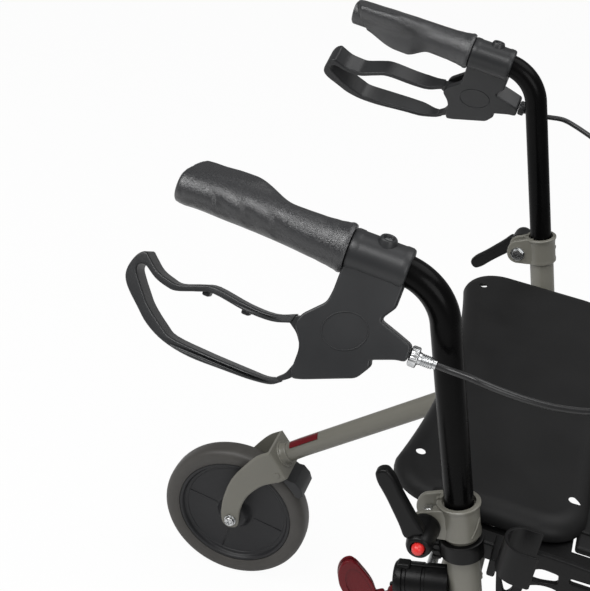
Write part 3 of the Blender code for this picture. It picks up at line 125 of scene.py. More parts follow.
class Finish:
    def __init__(self, name):
        self.material = bpy.data.materials.new(name)
        self.material.use_nodes = True
        self.tree = self.material.node_tree
        self.shader = self.tree.nodes["Principled BSDF"]
        self.place = self.add("ShaderNodeTexCoord", {}, {}, "Object")

    def add(self, kind, settings, values, output=0):
        node = self.tree.nodes.new(kind)
        for key, value in settings.items():
            setattr(node, key, value)
        for key, value in values.items():
            self.give(node.inputs[key], value)
        return Flow(self, node.outputs[output])

    def give(self, socket, value):
        if isinstance(value, Flow):
            self.tree.links.new(value.socket, socket)
        else:
            socket.default_value = value

    def noise(self, scale, detail=4.0, roughness=0.5, stretch=None):
        place = self.place
        if stretch:
            place = self.add("ShaderNodeMapping", {}, {"Vector": place, "Scale": stretch})
        values = {"Vector": place, "Scale": scale, "Detail": detail, "Roughness": roughness}
        return self.add("ShaderNodeTexNoise", {}, values)

    def cells(self, scale, feature="F1"):
        settings = {"feature": feature}
        return self.add("ShaderNodeTexVoronoi", settings, {"Vector": self.place, "Scale": scale})

    def mix(self, share, first, second):
        values = {0: share, 6: (*first, 1.0), 7: (*second, 1.0)}
        return self.add("ShaderNodeMix", {"data_type": "RGBA"}, values, 2)

    def bump(self, height, strength, distance):
        values = {"Height": height, "Strength": strength, "Distance": distance}
        self.give(self.shader.inputs["Normal"], self.add("ShaderNodeBump", {}, values))

    def surface(self, colour, roughness, metallic=0.0, coat=0.0, gloss=0.5):
        self.give(self.shader.inputs["Base Color"], colour)
        self.give(self.shader.inputs["Roughness"], roughness)
        self.shader.inputs["Metallic"].default_value = metallic
        self.shader.inputs["Coat Weight"].default_value = coat
        self.shader.inputs["Specular IOR Level"].default_value = gloss
        return self.material


# each finish: its two colours, mean roughness, and the grain's size and depth in metres
tones = {
    "taupe": {"colours": ((0.150, 0.145, 0.122), (0.176, 0.171, 0.146)), "rough": 0.36, "grain": 0.0011},
    "tube": {
        "colours": ((0.0012, 0.0012, 0.0013), (0.0026, 0.0025, 0.0025)), "rough": 0.28, "grain": 0.0014, "gloss": 0.07,
    },
    "moulded": {
        "colours": ((0.0150, 0.0156, 0.0167), (0.0205, 0.0212, 0.0225)), "rough": 0.38, "grain": 0.00045,
        "gloss": 0.45,
    },
    "rack": {
        "colours": ((0.0020, 0.0020, 0.0021), (0.0040, 0.0040, 0.0042)), "rough": 0.36, "grain": 0.00045,
        "gloss": 0.22,
    },
    "seat": {
        "colours": ((0.0072, 0.0072, 0.0074), (0.0104, 0.0104, 0.0106)), "rough": 0.50, "grain": 0.0007, "gloss": 0.22,
    },
    "grip": {
        "colours": ((0.0120, 0.0125, 0.0138), (0.0210, 0.0216, 0.0236)), "rough": 0.30, "grain": 0.0009, "gloss": 0.95,
    },
    "tyre": {"colours": ((0.047, 0.044, 0.040), (0.062, 0.058, 0.053)), "rough": 0.50, "grain": 0.0006},
    "hub": {
        "colours": ((0.0095, 0.0097, 0.0112), (0.0128, 0.0130, 0.0148)), "rough": 0.46, "grain": 0.0005, "gloss": 0.42,
    },
    "zinc": {"colours": ((0.52, 0.53, 0.54), (0.74, 0.75, 0.75)), "rough": 0.27, "grain": 0.0004},
    "button": {"colours": ((0.62, 0.024, 0.022), (0.78, 0.045, 0.040)), "rough": 0.30, "grain": 0.0006},
    "paddle": {
        "colours": ((0.098, 0.0035, 0.0065), (0.140, 0.0055, 0.0095)), "rough": 0.36, "grain": 0.0006, "gloss": 0.22,
    },
    "sleeve": {"colours": ((0.0095, 0.0095, 0.0100), (0.0150, 0.0150, 0.0156)), "rough": 0.30, "grain": 0.0008},
}


def powderCoat(name, tone):
    # orange-peel coat with a faint fleck and dulled patches
    finish = Finish(name)
    patches = finish.noise(9.0, 3.0)
    fleck = finish.noise(2600.0, 2.0)
    peel = finish.noise(1.0 / tone["grain"], 2.0)
    shade = (patches * 0.6 + fleck * 0.4).clipped(0.32, 0.68)
    finish.bump(peel, 0.10, 0.0004)
    rough = tone["rough"] + (patches - 0.5) * 0.22 + (fleck - 0.5) * 0.10
    return finish.surface(finish.mix(shade, *tone["colours"]), rough)


def glossTube(name, tone):
    # deep black coat with rub marks where the tube slides through its clamp
    finish = Finish(name)
    patches = finish.noise(14.0, 4.0)
    rub = finish.noise(160.0, 5.0, 0.65, stretch=(1.0, 1.0, 0.04)).clipped(0.52, 0.74)
    peel = finish.noise(1.0 / tone["grain"], 2.0)
    finish.bump(peel, 0.05, 0.0003)
    rough = tone["rough"] + (patches - 0.5) * 0.12 + rub * 0.10
    return finish.surface(finish.mix(patches.clipped(0.35, 0.65), *tone["colours"]), rough, 0.0, 0.03, tone["gloss"])


def mouldedPlastic(name, tone):
    # spark-eroded mould grain, slightly polished where hands and clothes rub it
    finish = Finish(name)
    patches = finish.noise(22.0, 4.0)
    grain = finish.noise(1.0 / tone["grain"], 3.0, 0.6)
    pits = finish.cells(0.6 / tone["grain"])
    finish.bump(grain * 0.7 + pits * 0.3, 0.22, 0.00012)
    rough = tone["rough"] + (patches - 0.5) * 0.16 + (grain - 0.5) * 0.12
    shade = (patches * 0.7 + grain * 0.3).clipped(0.35, 0.65)
    return finish.surface(finish.mix(shade, *tone["colours"]), rough, gloss=tone.get("gloss", 0.5))


def leatherGrip(name, tone):
    # hide-like grain in the rubber, with a broken sheen
    finish = Finish(name)
    patches = finish.noise(30.0, 3.0)
    creases = finish.cells(1.0 / tone["grain"], "DISTANCE_TO_EDGE").clipped(0.0, 0.25)
    swell = finish.noise(1.4 / tone["grain"], 3.0, 0.6)
    finish.bump(creases * 0.6 + swell * 0.6, 0.55, 0.00022)
    rough = tone["rough"] + (swell - 0.5) * 0.30 + (patches - 0.5) * 0.12
    shade = (creases * 0.5 + patches * 0.5).clipped(0.25, 0.80)
    return finish.surface(finish.mix(shade, *tone["colours"]), rough, gloss=tone["gloss"])


def foamTyre(name, tone):
    # smooth foam skin with faint dust and scuffs
    finish = Finish(name)
    dust = finish.noise(26.0, 5.0, 0.6)
    skin = finish.noise(1.0 / tone["grain"], 3.0)
    scuffs = finish.noise(240.0, 5.0, 0.7).clipped(0.58, 0.75)
    finish.bump(skin * 0.6 - scuffs * 0.4, 0.18, 0.0002)
    rough = tone["rough"] + (dust - 0.5) * 0.20 + scuffs * 0.12
    return finish.surface(finish.mix(dust.clipped(0.3, 0.7), *tone["colours"]), rough)


def zincPlate(name, tone):
    # bright plate with fine turning marks
    finish = Finish(name)
    clouds = finish.noise(180.0, 4.0, 0.6)
    marks = finish.noise(1.0 / tone["grain"], 2.0, stretch=(6.0, 0.5, 0.5))
    finish.bump(marks, 0.12, 0.00006)
    rough = tone["rough"] + (clouds - 0.5) * 0.24 + (marks - 0.5) * 0.10
    return finish.surface(finish.mix(clouds.clipped(0.3, 0.7), *tone["colours"]), rough, metallic=1.0)


makers = {"taupe": powderCoat, "tube": glossTube, "grip": leatherGrip, "tyre": foamTyre, "zinc": zincPlate}
finishes = {name: makers.get(name, mouldedPlastic)(name, tone) for name, tone in tones.items()}
print("finishes:", ", ".join(finishes))


def paleStudio():
    # floor and sky show white, and the floor keeps a soft shadow
    floor = bmesh.new()
    bmesh.ops.create_grid(floor, x_segments=2, y_segments=2, size=room["floorHalf"])
    mesh = bpy.data.meshes.new("floor")
    floor.to_mesh(mesh)
    floor.free()
    finish = Finish("paleFloor")
    finish.surface((*room["floorColour"], 1.0), 0.85)
    rays = finish.add("ShaderNodeLightPath", {}, {}, "Is Camera Ray")
    glow = finish.add("ShaderNodeEmission", {}, {"Color": (1.0, 1.0, 1.0, 1.0), "Strength": room["shown"]})
    output = finish.tree.nodes["Material Output"]
    base = Flow(finish, finish.shader.outputs[0])
    both = finish.add("ShaderNodeMixShader", {}, {0: rays * room["floorGlow"], 1: base, 2: glow})
    finish.give(output.inputs["Surface"], both)
    mesh.materials.append(finish.material)
    link("floor", mesh)

    world = bpy.data.worlds.new("paleRoom")
    world.use_nodes = True
    scene.world = world
    tree = world.node_tree
    path = tree.nodes.new("ShaderNodeLightPath")
    seen = tree.nodes.new("ShaderNodeMath")
    seen.operation = "MAXIMUM"
    tree.links.new(path.outputs["Is Camera Ray"], seen.inputs[0])
    tree.links.new(path.outputs["Is Transmission Ray"], seen.inputs[1])
    strength = tree.nodes.new("ShaderNodeMapRange")
    tree.links.new(seen.outputs[0], strength.inputs["Value"])
    strength.inputs["To Min"].default_value = room["light"]
    strength.inputs["To Max"].default_value = room["shown"]
    background = tree.nodes["Background"]
    background.inputs["Color"].default_value = (1.0, 1.0, 1.0, 1.0)
    tree.links.new(strength.outputs["Result"], background.inputs["Strength"])


paleStudio()
print("camera, lamps and floor placed")


# shapes: each helper gives a bmesh in world places unless a matrix turns it
def moved(form, matrix):
    bmesh.ops.transform(form, matrix=matrix, verts=form.verts)
    return form


def together(*forms):
    whole = forms[0]
    for other in forms[1:]:
        spare = bpy.data.meshes.new("spare")
        other.to_mesh(spare)
        other.free()
        whole.from_mesh(spare)
        bpy.data.meshes.remove(spare)
    return whole


def otherSide(form):
    mirror = form.copy()
    bmesh.ops.scale(mirror, vec=(-1.0, 1.0, 1.0), verts=mirror.verts)
    bmesh.ops.reverse_faces(mirror, faces=mirror.faces)
    return mirror


def lathe(profile, matrix=Matrix(), steps=48, ring=False):
    # (radius, height) points turned about the matrix's Z
    form = bmesh.new()
    verts = [form.verts.new((radius, 0.0, height)) for radius, height in profile]
    edges = [form.edges.new(pair) for pair in zip(verts, verts[1:])]
    if ring:
        edges.append(form.edges.new((verts[-1], verts[0])))
    bmesh.ops.spin(
        form, geom=verts + edges, cent=(0, 0, 0), axis=(0, 0, 1), angle=2 * math.pi, steps=steps, use_merge=True
    )
    bmesh.ops.remove_doubles(form, verts=form.verts, dist=0.000001)
    bmesh.ops.recalc_face_normals(form, faces=form.faces)
    return moved(form, matrix)


def plate(outline, thickness, matrix=Matrix(), soft=0.0, segments=2):
    # a flat outline made thick both ways, with soft edges
    form = bmesh.new()
    face = form.faces.new([form.verts.new((x, y, -thickness / 2)) for x, y in outline])
    grown = bmesh.ops.extrude_face_region(form, geom=[face])["geom"]
    top = [part for part in grown if isinstance(part, bmesh.types.BMVert)]
    bmesh.ops.translate(form, vec=(0.0, 0.0, thickness), verts=top)
    bmesh.ops.recalc_face_normals(form, faces=form.faces)
    caps = sorted(form.faces, key=lambda part: len(part.verts))[-2:]
    rim = [edge for cap in caps for edge in cap.edges]
    if soft:
        bmesh.ops.bevel(
            form, geom=rim, offset=soft, segments=segments, affect="EDGES", profile=0.5, material=-1,
            clamp_overlap=True,
        )
    return moved(form, matrix)


def flatCurve(outline, holes, thickness, matrix=Matrix(), soft=0.0):
    # an outline with openings, its edges rounded
    curve = bpy.data.curves.new("flat", "CURVE")
    curve.dimensions = "2D"
    curve.fill_mode = "BOTH"
    curve.extrude = thickness / 2 - soft
    curve.bevel_depth = soft
    curve.bevel_resolution = 2
    curve.offset = -soft
    for loop in (outline, *holes):
        spline = curve.splines.new("POLY")
        spline.points.add(len(loop) - 1)
        for point, (x, y) in zip(spline.points, loop):
            point.co = (x, y, 0.0, 1.0)
        spline.use_cyclic_u = True
    return moved(meshOf(link("flat", curve)), matrix)


def meshOf(obj):
    bpy.context.view_layer.update()
    mesh = bpy.data.meshes.new_from_object(obj.evaluated_get(bpy.context.evaluated_depsgraph_get()))
    form = bmesh.new()
    form.from_mesh(mesh)
    bmesh.ops.remove_doubles(form, verts=form.verts, dist=0.000005)
    bmesh.ops.recalc_face_normals(form, faces=form.faces)
    bpy.data.objects.remove(obj)
    bpy.data.meshes.remove(mesh)
    return form


def block(low, high, soft=0.0008, segments=2):
    low, high = Vector(low), Vector(high)
    form = bmesh.new()
    bmesh.ops.create_cube(form, size=1.0)
    moved(form, Matrix.Translation((low + high) / 2) @ Matrix.Diagonal((*(high - low), 1.0)))
    bmesh.ops.bevel(
        form, geom=form.edges[:], offset=soft, segments=segments, affect="EDGES", profile=0.5, material=-1
    )
    return form


def cutBy(form, *tools):
    body, tool = link("body", asMesh(form)), link("tool", asMesh(together(*tools)))
    step = body.modifiers.new("cut", "BOOLEAN")
    step.operation = "DIFFERENCE"
    step.solver = "EXACT"
    step.use_self = True
    step.object = tool
    result = meshOf(body)
    bpy.data.objects.remove(tool)
    return result


def asMesh(form, name="spare"):
    mesh = bpy.data.meshes.new(name)
    form.to_mesh(mesh)
    form.free()
    return mesh


def bent(corners, radius, steps=10):
    # a path through corners, each inner one rounded
    corners = [Vector(corner) for corner in corners]
    path = [corners[0]]
    for before, corner, after in zip(corners, corners[1:], corners[2:]):
        inward, outward = (before - corner).normalized(), (after - corner).normalized()
        half = inward.angle(outward) / 2
        middle = corner + (inward + outward).normalized() * radius / math.sin(half)
        first = corner + inward * radius / math.tan(half) - middle
        last = corner + outward * radius / math.tan(half) - middle
        turn = first.angle(last)
        for step in range(steps + 1):
            share = step / steps
            arc = (first * math.sin((1 - share) * turn) + last * math.sin(share * turn)) / math.sin(turn)
            path.append(middle + arc)
    return path + [corners[-1]]


def through(points, steps):
    # a smooth curve through given points
    points = [Vector(point) for point in points]
    padded = [2 * points[0] - points[1], *points, 2 * points[-1] - points[-2]]
    path = []
    for a, b, c, d in zip(padded, padded[1:], padded[2:], padded[3:]):
        for step in range(steps):
            t = step / steps
            path.append(
                0.5 * (2 * b + (c - a) * t + (2 * a - 5 * b + 4 * c - d) * t**2 + (3 * b - a - 3 * c + d) * t**3)
            )
    return path + [points[-1]]


def flat(points):
    return [(point.x, point.y) for point in points]


def framesAlong(path, side=(1.0, 0.0, 0.0), loop=False, scales=None):
    # a matrix at each point: Z along the path, X carried on from the one before
    side = Vector(side)
    count = len(path)
    frames = []
    for index, point in enumerate(path):
        before = path[(index - 1) % count] if loop else path[max(index - 1, 0)]
        after = path[(index + 1) % count] if loop else path[min(index + 1, count - 1)]
        along = (after - before).normalized()
        side = (side - along * side.dot(along)).normalized()
        turn = Matrix((side, along.cross(side), along)).transposed().to_4x4()
        scale = scales[index] if scales else 1.0
        frames.append(Matrix.Translation(point) @ turn @ Matrix.Scale(scale, 4))
    return frames


def sweep(frames, radius=0.0, outline=None, sides=28, loop=False):
    # a ring carried through the frames, with closed ends
    form = bmesh.new()
    if outline:
        ring = [form.verts.new((x, y, 0.0)) for x, y in outline]
        edges = [form.edges.new((ring[index - 1], ring[index])) for index in range(len(ring))]
        bmesh.ops.transform(form, matrix=frames[0], verts=ring)
    else:
        bmesh.ops.create_circle(form, segments=sides, radius=radius, matrix=frames[0])
        edges = form.edges[:]
    first = edges
    last = frames[0]
    for place in frames[1:] + ([frames[0]] if loop else []):
        grown = bmesh.ops.extrude_edge_only(form, edges=edges)["geom"]
        ring = {part for part in grown if isinstance(part, bmesh.types.BMVert)}
        edges = [part for part in grown if isinstance(part, bmesh.types.BMEdge) and ring.issuperset(part.verts)]
        bmesh.ops.transform(form, matrix=place @ last.inverted(), verts=list(ring))
        last = place
    if loop:
        bmesh.ops.remove_doubles(form, verts=form.verts, dist=0.000002)
    else:
        bmesh.ops.contextual_create(form, geom=first)
        bmesh.ops.contextual_create(form, geom=edges)
    bmesh.ops.recalc_face_normals(form, faces=form.faces)
    return form


def rod(start, end, radius, sides=32, soft=0.0):
    # a round bar with rounded ends
    start, end = Vector(start), Vector(end)
    along = (end - start).to_track_quat("Z", "Y").to_matrix().to_4x4()
    length = (end - start).length
    if not soft:
        return sweep(framesAlong([start, end], side=along.col[0].xyz), radius, sides=sides)
    profile = [(0.0, 0.0), (radius - soft, 0.0), (radius - soft * 0.3, soft * 0.3), (radius, soft)]
    profile += [(r, length - h) for r, h in reversed(profile)]
    return lathe(profile, Matrix.Translation(start) @ along, sides)


def finishPiece(name, form, finish, body, stands=(), sharp=38.0, even=True):
    bmesh.ops.recalc_face_normals(form, faces=form.faces)
    mesh = asMesh(form, name)
    mesh.shade_smooth()
    mesh.set_sharp_from_angle(angle=math.radians(sharp))
    mesh.materials.append(finishes[finish])
    piece = link(name, mesh)
    if even:
        weighted = piece.modifiers.new("evenShading", "WEIGHTED_NORMAL")
        weighted.keep_sharp = True
    if body:
        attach(piece, body)
    if stands:
        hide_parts(*stands)
    return piece


def pairOf(name, form, finish, body, stands=(), **more):
    # the right-hand piece and its mirror image
    mirror = otherSide(form)
    made = []
    for side, shape in (("right", form), ("left", mirror)):
        nodes = [node.format(side) for node in stands]
        made.append(finishPiece(name + side.capitalize(), shape, finish, body.format(side), nodes, **more))
    return made


# places repeated from the CAD, on the right-hand side
post = {"x": -0.240, "y": -0.02475, "z": 0.634, "lean": math.radians(17.0), "radius": 0.0125}
rearLeg = {"x": -0.268, "slope": math.radians(42.4), "length": 0.3855, "above": 0.2025, "wheelX": -0.290}
axle = {"rearY": 0.25975, "frontY": -0.25975, "z": 0.100, "swivelY": -0.29975}
crossRadius = 0.011
gap = 0.0003


def postPoint(along, back=0.0, x=post["x"]):
    y = post["y"] + along * math.sin(post["lean"]) + back * math.cos(post["lean"])
    z = post["z"] + along * math.cos(post["lean"]) - back * math.sin(post["lean"])
    return Vector((x, y, z))


postFrame = Matrix.Translation(postPoint(0.0)) @ Matrix.Rotation(-post["lean"], 4, "X")
pivot = postPoint(-0.1689)
legDown = Vector((0.0, math.cos(rearLeg["slope"]), -math.sin(rearLeg["slope"])))


def legPoint(up, x=rearLeg["x"]):
    return Vector((x, pivot.y, pivot.z)) - legDown * up


def outward(x, y, z):
    # Z points out to the user's right, for turned pieces across the frame
    return Matrix.Translation((x, y, z)) @ Matrix.Rotation(math.radians(-90), 4, "Y")


def sideOn(x, y, z):
    # X runs back and Y up, for outlines seen from the side
    return Matrix.Translation((x, y, z)) @ Matrix(((0, 0, 1), (1, 0, 0), (0, 1, 0))).to_4x4()


grip = {"corner": postPoint(0.1814), "pitch": math.radians(4.7), "tilt": math.radians(27.0)}
gripAlong = Vector((0.0, math.cos(grip["pitch"]), math.sin(grip["pitch"])))
gripUp = Vector((0.0, -math.sin(grip["pitch"]), math.cos(grip["pitch"])))
sideways = Vector((1.0, 0.0, 0.0))
housingDown = -gripUp * math.cos(grip["tilt"]) - sideways * math.sin(grip["tilt"])
housingOut = gripUp * math.sin(grip["tilt"]) - sideways * math.cos(grip["tilt"])
housingFrame = (
    Matrix.Translation(grip["corner"]) @ Matrix((gripAlong, housingDown, housingOut)).transposed().to_4x4()
)
gripFrame = Matrix.Translation(grip["corner"]) @ Matrix((sideways, -gripUp, gripAlong)).transposed().to_4x4()


def inGrip(along, down):
    return housingFrame @ Vector((along, down, 0.0))


# cables: out of the adjuster, forward past the tube, down in front of the hinge tube and back into the front leg
cable = {
    "radius": 0.0025,
    "route": (
        (-0.2665, -0.0069, 0.7590), (-0.2672, -0.0148, 0.7583), (-0.2655, -0.0248, 0.7561),
        (-0.2628, -0.0348, 0.7536), (-0.2594, -0.0448, 0.7510), (-0.2550, -0.0548, 0.7483),
        (-0.2498, -0.0648, 0.7456), (-0.2434, -0.0748, 0.7430), (-0.2360, -0.0848, 0.7404),
        (-0.2274, -0.0948, 0.7379), (-0.2185, -0.1048, 0.7352), (-0.2120, -0.1188, 0.7315),
        (-0.2100, -0.1368, 0.7260), (-0.2095, -0.1628, 0.7155), (-0.2095, -0.1888, 0.6980),
        (-0.2100, -0.2118, 0.6730), (-0.2110, -0.2298, 0.6400), (-0.2120, -0.2388, 0.6040),
        (-0.2135, -0.2403, 0.5660), (-0.2160, -0.2348, 0.5290), (-0.2195, -0.2228, 0.4940),
        (-0.2240, -0.2058, 0.4610), (-0.2295, -0.1888, 0.4320),
    ),
    "fromCorner": -0.0156,
    "drop": 0.053,
    "belowBend": 0.098,
    "steps": 6,
}
headTube = {"radius": 0.015, "bottom": 0.2148, "length": 0.056, "foot": 0.022, "bend": 0.060, "toBend": 0.190}
legBend = postPoint(-headTube["toBend"])
legFoot = Vector((post["x"], axle["swivelY"], headTube["bottom"] + headTube["foot"]))
legSlope = (legBend - legFoot).normalized()
headTop = headTube["bottom"] + headTube["length"]
legSquare = Vector((0.0, -legSlope.z, legSlope.y))
cableExit = inGrip(cable["fromCorner"], cable["drop"])
cableInlet = legBend - legSlope * cable["belowBend"] + legSquare * (post["radius"] + gap)
cablePoints = [cableExit, cableExit - gripAlong * 0.010, *cable["route"], cableInlet + legSquare * 0.007]
cablePath = through(cablePoints, cable["steps"]) + [cableInlet]


def makeCables():
    sleeve = sweep(framesAlong(cablePath), cable["radius"], sides=16)
    length = sum((b - a).length for a, b in zip(cablePath, cablePath[1:]))
    for side, form, sign in (("left", otherSide(sleeve), -1.0), ("right", sleeve, 1.0)):
        path = [point * Vector((sign, 1.0, 1.0)) for point in cablePath]
        node = f"brake_cable_{side}"
        piece = finishPiece("cable" + side.capitalize(), form, "sleeve", None, [node], even=False)
        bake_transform(piece)
    # a rubber bush where each cable goes into its leg
    into = Matrix.Translation(cableInlet - legSquare * 0.0006) @ legSquare.to_track_quat("Z", "Y").to_matrix().to_4x4()
    bush = lathe(
        [(0.0, 0.0), (0.0052, 0.0), (0.0054, 0.0012), (0.0042, 0.0034), (0.0027, 0.0044), (0.0, 0.0044)], into, 24
    )
    pairOf("cableBush", bush, "grip", "front_frame")
    print("cables:", round(length, 3), "m each")


makeCables()


# welds: a rippled bead where a cross tube meets an upright one
def bead(centre, axis, towards, tubeRadius, uprightRadius, size=0.0017):
    turns = 72
    axis, towards = Vector(axis).normalized(), Vector(towards).normalized()
    across = axis.cross(towards)
    path, scales = [], []
    for step in range(turns):
        angle = 2 * math.pi * step / turns
        u, v = tubeRadius * math.cos(angle), tubeRadius * math.sin(angle)
        path.append(Vector(centre) + across * u + axis * v + towards * math.sqrt(uprightRadius**2 - u**2))
        scales.append(1.0 + 0.16 * math.sin(19 * angle))
    return sweep(framesAlong(path, side=towards, loop=True, scales=scales), size, sides=10, loop=True)


def makeFrontLegs():
    leg = sweep(framesAlong(bent((postPoint(0.0), legBend, legFoot), headTube["bend"], 14)), post["radius"], sides=40)
    low, high, wide = headTube["bottom"], headTop, headTube["radius"]
    head = lathe(
        [
            (0.0, low), (wide + 0.0006, low), (wide + 0.0010, low + 0.0005), (wide + 0.0010, low + 0.0038),
            (wide + 0.0003, low + 0.0045), (wide, low + 0.0060), (wide, high - 0.0060), (wide + 0.0003, high - 0.0045),
            (wide + 0.0010, high - 0.0038), (wide + 0.0010, high - 0.0005), (wide + 0.0006, high), (0.0, high),
        ],
        Matrix.Translation((post["x"], axle["swivelY"], 0.0)),
    )
    joint = Vector((post["x"], axle["swivelY"], legFoot.z))
    level = Vector((0.0, 1.0, 0.0))
    weld = bead(joint + Vector((0.0, 0.0, 0.005)), (0.0, 0.0, 1.0), level, post["radius"], wide, 0.0020)
    pairOf("frontLeg", together(leg, head, weld), "taupe", "front_frame", ["front_leg_{}"])


def crossTube(name, at, reach, axis, radius, node, body):
    ends = [Vector((sign * reach, at.y, at.z)) for sign in (-1.0, 1.0)]
    bar = sweep(framesAlong(ends, side=(0, 0, 1)), crossRadius, sides=40)
    welds = []
    for sign, end in zip((-1.0, 1.0), ends):
        welds.append(bead(end, axis, (-sign, 0.0, 0.0), crossRadius, radius))
    finishPiece(name, together(bar, *welds), "taupe", body, [node])


def makeCrossTubes():
    up = postPoint(1.0) - postPoint(0.0)
    seatTube = postPoint(-0.068, x=0.0)
    crossTube("seatRestTube", seatTube, -post["x"], up, post["radius"], "seat_rest_tube", "front_frame")
    frontTube = legFoot + legSlope * (0.030 / legSlope.y)
    crossTube("frontCrossTube", frontTube, -post["x"], legSlope, post["radius"], "front_cross_tube", "front_frame")
    hinge, low = legPoint(0.190, 0.0), legPoint(-0.0525, 0.0)
    crossTube("hingeCrossTube", hinge, -rearLeg["x"], legDown, post["radius"], "hinge_cross_tube", "rear_frame")
    lowReach = -rearLeg["x"] + 0.0005
    crossTube("rearCrossTube", low, lowReach, legDown, post["radius"], "rear_cross_tube", "rear_frame")


# rear legs, with a red reflector strip above the wheel on their upper side
strip = {"start": 0.018, "end": 0.063, "turn": 0.26, "halfTurn": 0.48, "lift": 0.0004}


def makeRearLegs():
    neck = legPoint(-rearLeg["length"], rearLeg["wheelX"])
    knee = legPoint(-0.045)
    path = [neck - legDown * 0.0103, neck - legDown * 0.030, knee, legPoint(0.0), legPoint(rearLeg["above"] - 0.0015)]
    leg = sweep(framesAlong(path), post["radius"], sides=40)
    top = Matrix.Translation(legPoint(rearLeg["above"])) @ legDown.to_track_quat("Z", "Y").to_matrix().to_4x4()
    plug = lathe(
        [(0.0, 0.0), (0.0085, 0.0), (0.0115, 0.0012), (0.0123, 0.0030), (0.0123, 0.0046), (0.0, 0.0046)], top, 40
    )
    pairOf("rearLeg", leg, "taupe", "rear_frame", ["rear_leg_{}"])
    pairOf("legPlug", plug, "moulded", "rear_frame")

    # the strip is a thin curved tape laid over the tube
    slant = (knee - neck).normalized()
    start, end = (neck + slant * share for share in (strip["start"], strip["end"]))
    up = Vector((1.0, 0.0, 0.0)).cross(slant).normalized()
    up = up if up.z > 0 else -up
    wide, inner = post["radius"] + strip["lift"], post["radius"] - 0.001
    turns = [strip["turn"] + strip["halfTurn"] * (step / 6 - 1) for step in range(13)]
    arc = [(wide * math.sin(turn), wide * math.cos(turn)) for turn in turns]
    arc += [(inner * math.sin(turn), inner * math.cos(turn)) for turn in reversed(turns)]
    across = up.cross(slant)
    frames = []
    for place in (start, end):
        frames.append(Matrix.Translation(place) @ Matrix((across, up, slant)).transposed().to_4x4())
    tape = sweep(frames, outline=arc)
    pairOf("reflectorStrip", tape, "paddle", "rear_frame")


# forks bent from sheet: a blade outline from the side, cut to two cheeks and a crown
fork = {"half": 0.028, "wall": 0.0035, "soft": 0.0028, "crownTop": 0.2145}
rearBlade = (
    (-0.0354, 0.1284), (-0.0188, 0.1143), (-0.0027, 0.0892), (0.0092, 0.0637), (0.0150, 0.0349),
    (0.0154, 0.0115), (0.0118, -0.0065), (0.0040, -0.0135), (-0.0045, -0.0130), (-0.0112, -0.0060),
    (-0.0106, 0.0189), (-0.0146, 0.0401), (-0.0222, 0.0555), (-0.0340, 0.0711), (-0.0467, 0.0803),
    (-0.0569, 0.0872), (-0.0645, 0.0962),
)
casterBlade = (
    (-0.0200, 0.1145), (-0.0110, 0.0960), (-0.0010, 0.0720), (0.0075, 0.0450),
    (0.0128, 0.0180), (0.0124, -0.0040), (0.0070, -0.0115), (-0.0010, -0.0135), (-0.0090, -0.0095),
    (-0.0122, 0.0000), (-0.0128, 0.0180), (-0.0190, 0.0430), (-0.0320, 0.0680), (-0.0460, 0.0890),
    (-0.0600, 0.1060), (-0.0600, 0.1145),
)


def forkShape(blade, at, roomFrame):
    inner = fork["half"] - fork["wall"]
    outline = flat(through([(*spot, 0.0) for spot in blade], 4))
    body = plate(outline, 2 * fork["half"], sideOn(*at), fork["soft"], 4)
    space = block((-inner, -0.09, 0.0), (inner, 0.09, 0.25), 0.0015, 2)
    return cutBy(body, moved(space, roomFrame))


def makeForks():
    at = Vector((rearLeg["wheelX"], axle["rearY"], axle["z"]))
    crown = legPoint(-rearLeg["length"], rearLeg["wheelX"])
    crownTurn = Matrix.Translation(crown) @ Matrix.Rotation(-math.radians(90) - rearLeg["slope"], 4, "X")
    body = forkShape(rearBlade, at, crownTurn @ Matrix.Translation((0.0, 0.0, fork["wall"])))
    wide = post["radius"] + 0.0015
    neck = lathe(
        [
            (0.0, 0.002), (wide + 0.0035, 0.002), (wide + 0.0030, 0.0), (wide + 0.0010, -0.0022), (wide, -0.0040),
            (wide, -0.0088), (wide - 0.0008, -0.0100), (0.0, -0.0100),
        ],
        crownTurn,
    )
    ripple = bead(crown - legDown * 0.0005, (1.0, 0.0, 0.0), -legDown, wide + 0.0022, 1.0, 0.0016)
    bmesh.ops.translate(ripple, vec=legDown, verts=ripple.verts)
    pin = brakePin()
    reach = Vector((fork["half"] + 0.0010, 0.0, 0.0))
    rivet = rod(pin - reach, pin + reach, 0.0042, 24, 0.0008)
    pairOf("rearFork", together(body, neck, ripple, rivet), "taupe", "rear_frame", ["rear_fork_{}"])

    swivel = Vector((post["x"], axle["swivelY"], 0.0))
    at = Vector((post["x"], axle["frontY"], axle["z"]))
    top = fork["crownTop"] - fork["wall"]
    room = Matrix.Translation((swivel.x, swivel.y, top)) @ Matrix.Rotation(math.pi, 4, "X")
    body = forkShape(casterBlade, at, room)
    pairOf("casterFork", body, "taupe", "caster_{}", ["front_fork_{}"])

    cap = headTop + gap
    stem = lathe(
        [
            (0.0, cap + 0.0085), (0.0060, cap + 0.0085), (0.0095, cap + 0.0072), (0.0126, cap + 0.0044),
            (0.0135, cap + 0.0020), (0.0135, cap), (0.006, cap), (0.006, top - gap), (0.0095, top - gap),
            (0.0095, top - 0.0045), (0.0088, top - 0.0053), (0.0, top - 0.0053),
        ],
        Matrix.Translation((swivel.x, swivel.y, 0.0)),
    )
    pairOf("casterStem", stem, "zinc", "caster_{}", ["caster_stem_{}"])


def brakePin():
    return Vector((rearLeg["wheelX"], axle["rearY"] - 0.0505, axle["z"] + 0.0965))


# axle bolts: washer, domed head and a cross recess
bolt = {"washer": 0.0082, "washerThick": 0.0016, "head": 0.0068, "headThick": 0.0050, "slot": 0.0012}


